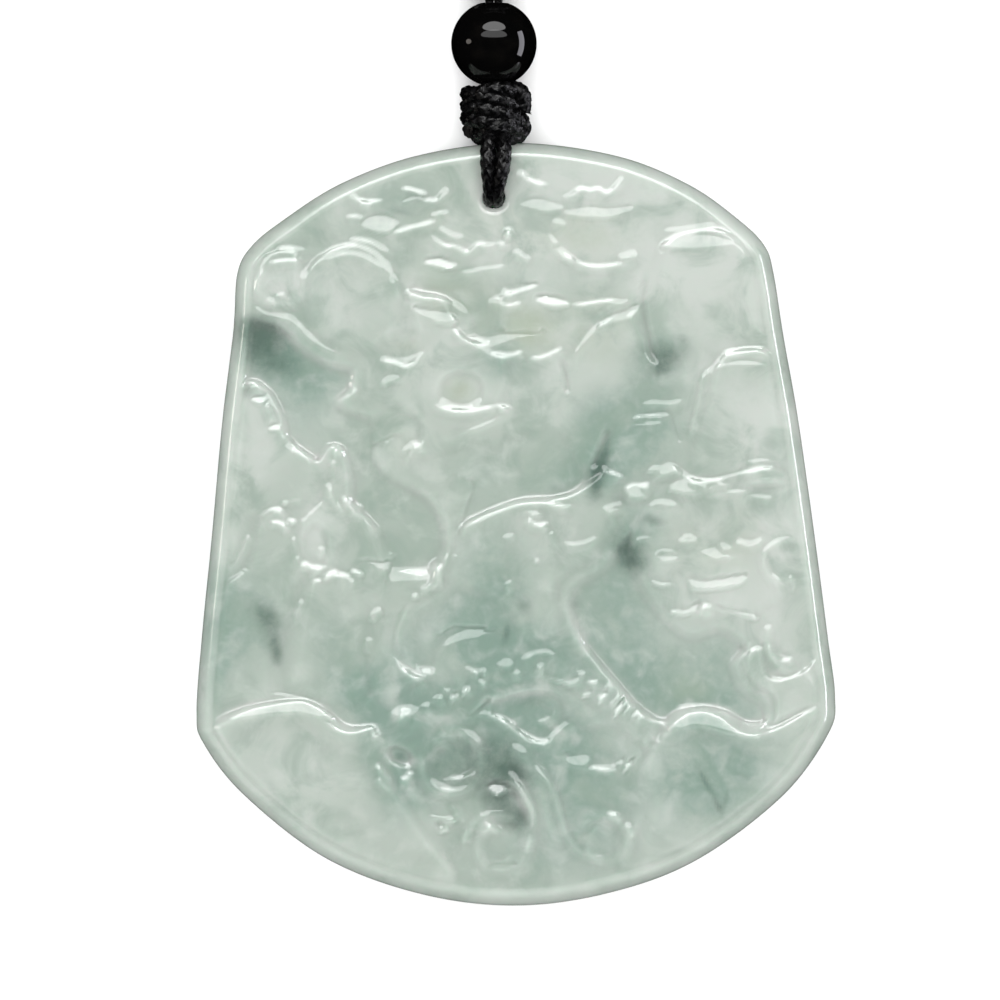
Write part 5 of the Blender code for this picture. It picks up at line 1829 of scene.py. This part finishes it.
@dataclass
class Fastening:
    """Cord through the bore, both knots and the strands inside the bead."""

    layout: Layout
    material: bpy.types.Material
    across: float = -0.00167
    lower_winding: Winding = Winding(0.03125, 0.0027, 0.00198, 0.0029, 3.2, 200, 0.00028)
    upper_winding: Winding = Winding(0.0422, 0.0024, 0.0017, 0.0028, 3.1, 160, -0.0002)
    bead_middle_up: float = 0.03655
    bead_level: float = 0.00325
    inner_apart: float = 0.00068
    inner_reach: float = 0.0034
    route_steps: int = 10
    hanging_braid: Braid = Braid(diameter=0.00128, sides=28, step=0.00007)
    lower_braid: Braid = Braid(diameter=0.00135, crossing=0.00075, sides=28, step=0.00008)
    upper_braid: Braid = Braid(diameter=0.0013, crossing=0.00075, sides=28, step=0.00008)
    inner_braid: Braid = Braid(diameter=0.00068, sides=20)

    def build(self) -> list[bpy.types.Object]:
        """Make every piece of the fastening."""
        return [self.hanging_strands(), self.lower_knot(), self.bead_strands(), self.upper_knot()]

    def joined(self, name: str, tubes: list[bpy.types.Object],
               replaced: str) -> bpy.types.Object:
        """Join some tubes into one piece and dress it.

        Args:
            name: the piece's name.
            tubes: the tubes.
            replaced: the frame's node that it stands for.

        Returns:
            The finished piece.
        """
        activate(tubes[0])
        for tube in tubes:
            tube.select_set(True)
        bpy.ops.object.join()
        piece = bpy.context.object
        piece.name = name
        finish_piece(piece, self.material, (replaced,))
        return piece

    def points(self, route: Sequence[Place]) -> Array:
        """Give a smooth route in metres.

        Args:
            route: layout units to the right and down, and a level in millimetres, of each point.

        Returns:
            Places in metres, one row each.
        """
        given = np.array(route, dtype=float)
        flat = self.layout.to_metres(given[:, :2])
        return smooth_line(np.column_stack([flat, given[:, 2] / MILLIMETRES]),
                           steps=self.route_steps)

    def hanging_strands(self) -> bpy.types.Object:
        """Make the two strands that go over the edge, down the bore and back behind.

        Returns:
            The finished piece.
        """
        tubes = [self.hanging_braid.tube("strand", self.points(route), PULLED, turn=0.4 + number)
                 for number, route in enumerate((HANGING_LEFT, HANGING_RIGHT))]
        return self.joined("hanging_strands", tubes, "hanging_loop")

    def lower_knot(self) -> bpy.types.Object:
        """Make the knot under the bead: a wound strand, two bights and the cord's cut ends.

        Returns:
            The finished piece.
        """
        tubes = [self.lower_braid.tube("wound", self.lower_winding.route(self.across))]
        for name, route, swell, turn in (("core", CORE_LEFT, None, 0.0),
                                         ("core", CORE_RIGHT, None, 0.0),
                                         ("bight", LOW_BIGHT, None, 0.5),
                                         ("bight", HIGH_BIGHT, None, 1.1),
                                         ("end", LONG_END, MELTED, 0.0),
                                         ("end", SHORT_END, None, 0.0)):
            tubes.append(self.lower_braid.tube(name, self.points(route), swell, turn))
        return self.joined("knot_below_bead", tubes, "lower_knot")

    def bead_strands(self) -> bpy.types.Object:
        """Make the strands inside the bead.

        Returns:
            The finished piece.
        """
        tubes = []
        for side in (-1, 1):
            x = self.across + side * self.inner_apart / 2
            route = [(x, self.bead_middle_up + share * self.inner_reach, self.bead_level)
                     for share in np.linspace(-1.0, 1.0, 12)]
            tubes.append(self.inner_braid.tube("strand", np.array(route)))
        return self.joined("strands_in_bead", tubes, "bead_strands")

    def upper_knot(self) -> bpy.types.Object:
        """Make the knot beyond the bead, from which both ends of the neck cord go out.

        Returns:
            The finished piece.
        """
        winding = self.upper_winding
        tubes = [self.upper_braid.tube("wound", winding.route(self.across))]
        for side in (-1, 1):
            route = [(self.across + side * aside, winding.up + along, winding.level + over)
                     for aside, along, over in UPPER_CORE]
            tubes.append(self.upper_braid.tube("core", smooth_line(route)))
        return self.joined("knot_above_bead", tubes, "upper_knot")


@dataclass
class NeckCord:
    """Neck loop at its full length: from the upper knot to a round coil and back."""

    across: float = -0.00167
    start_up: float = 0.0446
    spread: float = 0.0014
    knot_level: float = 0.0024
    neck_up: float = 0.0443
    coil_from_knot: float = 0.0175
    coil_middle_radius: float = 0.0068
    turns_across: int = 4
    turns_high: int = 4
    winding_turns: int = 14
    steps_a_turn: int = 72
    neck_share: float = 0.96
    neck_steps: int = 60
    gather: float = 0.3
    sink: float = 0.32
    climb_start: float = 0.36
    climb_reach: float = 0.47
    path_step: float = 0.0006
    braid: Braid = Braid(diameter=0.0012, crossing=0.0011, sides=16, step=0.00016)

    @property
    def floor_level(self) -> float:
        """Height of the centre of a strand that lies on the floor."""
        return self.braid.diameter / 2

    @property
    def outer_radius(self) -> float:
        """Radius of the coil's outermost turn."""
        return self.coil_middle_radius + (self.turns_across - 1) / 2 * self.braid.diameter

    def column_and_layer(self, turn: float, lead: float = 0.61, hurry: float = 0.04,
                         step: float = 0.1) -> tuple[float, float]:
        """Give where a turn lies in the coil.

        Args:
            turn: how many turns were wound before.
            lead: turns before the first step from one row to the next.
            hurry: how much earlier each later turn steps, so that turns pass clear.
            step: share of a turn that a step takes.

        Returns:
            Its column, from 0 inside, and its layer, from 0 on the floor.
        """
        slots = []
        for layer in range(self.turns_high):
            columns = range(self.turns_across)
            slots += [(column, layer) for column in (reversed(columns) if layer % 2 == 0
                                                     else columns)]
        column, layer = map(float, slots[0])
        for number in range(len(slots) - 1):
            middle = lead + number * (1.0 - hurry)
            share = float(ease((turn - middle) / step + 0.5))
            column += share * (slots[number + 1][0] - slots[number][0])
            layer += share * (slots[number + 1][1] - slots[number][1])
        return column, layer

    def route(self) -> Array:
        """Give the whole cord's centreline.

        Returns:
            Places in metres, one row each, from the knot through the coil and back to the knot.
        """
        lean = math.asin(self.outer_radius / self.coil_from_knot)
        straight = math.sqrt(self.coil_from_knot ** 2 - self.outer_radius ** 2)
        wound = self.winding_turns + 0.5 + lean / math.pi
        top = self.floor_level + (self.turns_high - 1) * self.braid.diameter
        middle = self.neck_up + self.coil_from_knot
        coil = []
        for turn in np.linspace(0.0, wound, round(wound * self.steps_a_turn)):
            column, layer = self.column_and_layer(float(turn))
            beyond = column - (self.turns_across - 1) / 2
            radius = self.coil_middle_radius + beyond * self.braid.diameter
            angle = math.pi + lean - 2 * math.pi * turn
            coil.append((self.across + radius * math.cos(angle),
                         middle + radius * math.sin(angle),
                         self.floor_level + layer * self.braid.diameter))
        left = self.neck(-1, lean, straight, self.floor_level)
        right = self.neck(1, lean, straight, top)
        return np.vstack([left, np.array(coil), right[::-1]])

    def neck(self, side: int, lean: float, straight: float, end_level: float) -> Array:
        """Give one strand from the upper knot to the coil, lying on the floor in between.

        Args:
            side: -1 for the left strand and 1 for the right one.
            lean: how far the strand leans outwards, in radians.
            straight: how long the straight way to the coil is.
            end_level: height of its centre where it meets the coil.

        Returns:
            Places in metres, one row each.
        """
        start = Vector((self.across + side * self.spread / 2, self.start_up))
        knot = Vector((self.across, self.neck_up))
        away = Vector((side * math.sin(lean), math.cos(lean)))
        aside = start - knot
        places = []
        for run in np.linspace(0.0, self.neck_share, self.neck_steps):
            place = knot + away * straight * run
            shift = 1.0 - float(ease(run / self.gather))
            sunk = float(ease(run / self.sink))
            dip = self.knot_level + (self.floor_level - self.knot_level) * sunk
            raised = float(ease((run - self.climb_start) / self.climb_reach))
            climb = (end_level - self.floor_level) * raised
            places.append((place.x + aside.x * shift, place.y + aside.y * shift, dip + climb))
        return np.array(places)

    def build(self, material: bpy.types.Material,
              carried: list[bpy.types.Object]) -> bpy.types.Object:
        """Make the cord and log its real length.

        Args:
            material: the cord's material.
            carried: the pieces that hang on it; not used.

        Returns:
            The finished piece.
        """
        route = even_line(self.route(), self.path_step)
        piece = self.braid.tube("neck_cord", route)
        finish_piece(piece, material, ("neck_cord_left", "neck_cord_right", "cord_coil"))
        length = float(run_lengths(route)[-1])
        LOG.info("neck cord: %.3f m long", length)
        return piece


class Lamp(Enum):
    """Outlines of the lights."""

    SQUARE = "RECTANGLE"
    OVAL = "ELLIPSE"


@dataclass(frozen=True)
class Softbox:
    """Flat studio light that looks at the stone."""

    name: str
    place: Place
    width: float
    height: float
    watts: float
    colour: Colour = (1.0, 1.0, 1.0)
    mirrored: bool = True
    spread: bool = True
    shape: Lamp = Lamp.SQUARE

    def build(self, target: Vector) -> None:
        """Add the light to the scene.

        Args:
            target: what it looks at.
        """
        deselect()
        bpy.ops.object.light_add(type="AREA", location=self.place)
        light = bpy.context.object
        light.name = self.name
        light.data.shape = self.shape.value
        light.data.size = self.width
        light.data.size_y = self.height
        light.data.energy = self.watts
        light.data.color = self.colour
        light.rotation_euler = (target - light.location).to_track_quat("-Z", "Y").to_euler()
        light.visible_glossy = self.mirrored
        light.visible_diffuse = self.spread
        light.visible_camera = False


@dataclass
class Studio:
    """Camera straight above the carved face, soft lights and a white floor."""

    middle: Point = (-0.00121, 0.001857)
    face_level: float = 0.0050
    frame_width: float = 0.0758
    camera_height: float = 0.60
    sensor: float = 36.0
    clip: Point = (0.01, 20.0)
    floor_size: float = 6.0
    sky: float = 0.42
    lights: tuple[Softbox, ...] = (
        Softbox("Key softbox", (0.0, 0.50, 0.46), 0.70, 0.31, 3.4, spread=False,
                shape=Lamp.OVAL),
        Softbox("Key's soft light", (0.0, 0.50, 0.46), 0.62, 0.42, 2.4, mirrored=False),
        Softbox("Overhead fill", (0.0, -0.05, 0.8), 1.4, 1.4, 15.5, mirrored=False),
        Softbox("Dim reflector", (0.0, 0.335, 0.67), 1.0, 0.28, 2.0, spread=False,
                shape=Lamp.OVAL),
        Softbox("Right window", (0.62, 0.03, 0.10), 0.60, 0.20, 2.8, (0.93, 0.92, 1.0),
                spread=False),
        Softbox("Left window", (-0.62, 0.08, 0.20), 0.12, 0.20, 0.25, (1.0, 0.93, 0.85),
                spread=False, shape=Lamp.OVAL),
    )

    def build(self, floor_finish: FloorFinish) -> None:
        """Add the camera, the lights, the world and the floor.

        Args:
            floor_finish: the floor's finish.
        """
        target = Vector((*self.middle, self.face_level))
        deselect()
        bpy.ops.object.camera_add(location=(*self.middle, self.camera_height), rotation=(0, 0, 0))
        camera = bpy.context.object
        camera.data.sensor_width = self.sensor
        camera.data.lens = self.sensor * (self.camera_height - self.face_level) / self.frame_width
        camera.data.clip_start, camera.data.clip_end = self.clip
        bpy.context.scene.camera = camera
        for light in self.lights:
            light.build(target)
        world = bpy.data.worlds.new("Studio")
        world.use_nodes = True
        background = next(node for node in world.node_tree.nodes if node.type == "BACKGROUND")
        background.inputs["Color"].default_value = (1.0, 1.0, 1.0, 1.0)
        background.inputs["Strength"].default_value = self.sky
        world.cycles_visibility.glossy = False
        bpy.context.scene.world = world
        bpy.context.scene.view_settings.view_transform = "Standard"
        deselect()
        bpy.ops.mesh.primitive_plane_add(size=self.floor_size)
        floor = bpy.context.object
        floor.name = "paper_floor"
        floor.data.materials.append(floor_finish.material())
        floor.visible_glossy = False


def main() -> None:
    """Build the studio, the cords, the bead and the stone."""
    logging.basicConfig(level=logging.INFO, format="%(message)s")
    Studio().build(FloorFinish())
    low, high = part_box("jade_plaque")
    layout = Layout(Vector(low), Vector(high))
    cord = CordFinish().material()
    carried = Fastening(layout, cord).build()
    bead_low, bead_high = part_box("bead")
    bead_middle = (Vector(bead_low) + Vector(bead_high)) / 2
    carried.append(Bead(bead_middle, bead_high[0] - bead_low[0]).build(BeadFinish()))
    NeckCord().build(cord, carried)
    JadePlaque(layout, Outline(layout)).build(JadeFinish())


if __name__ == "__main__":
    main()
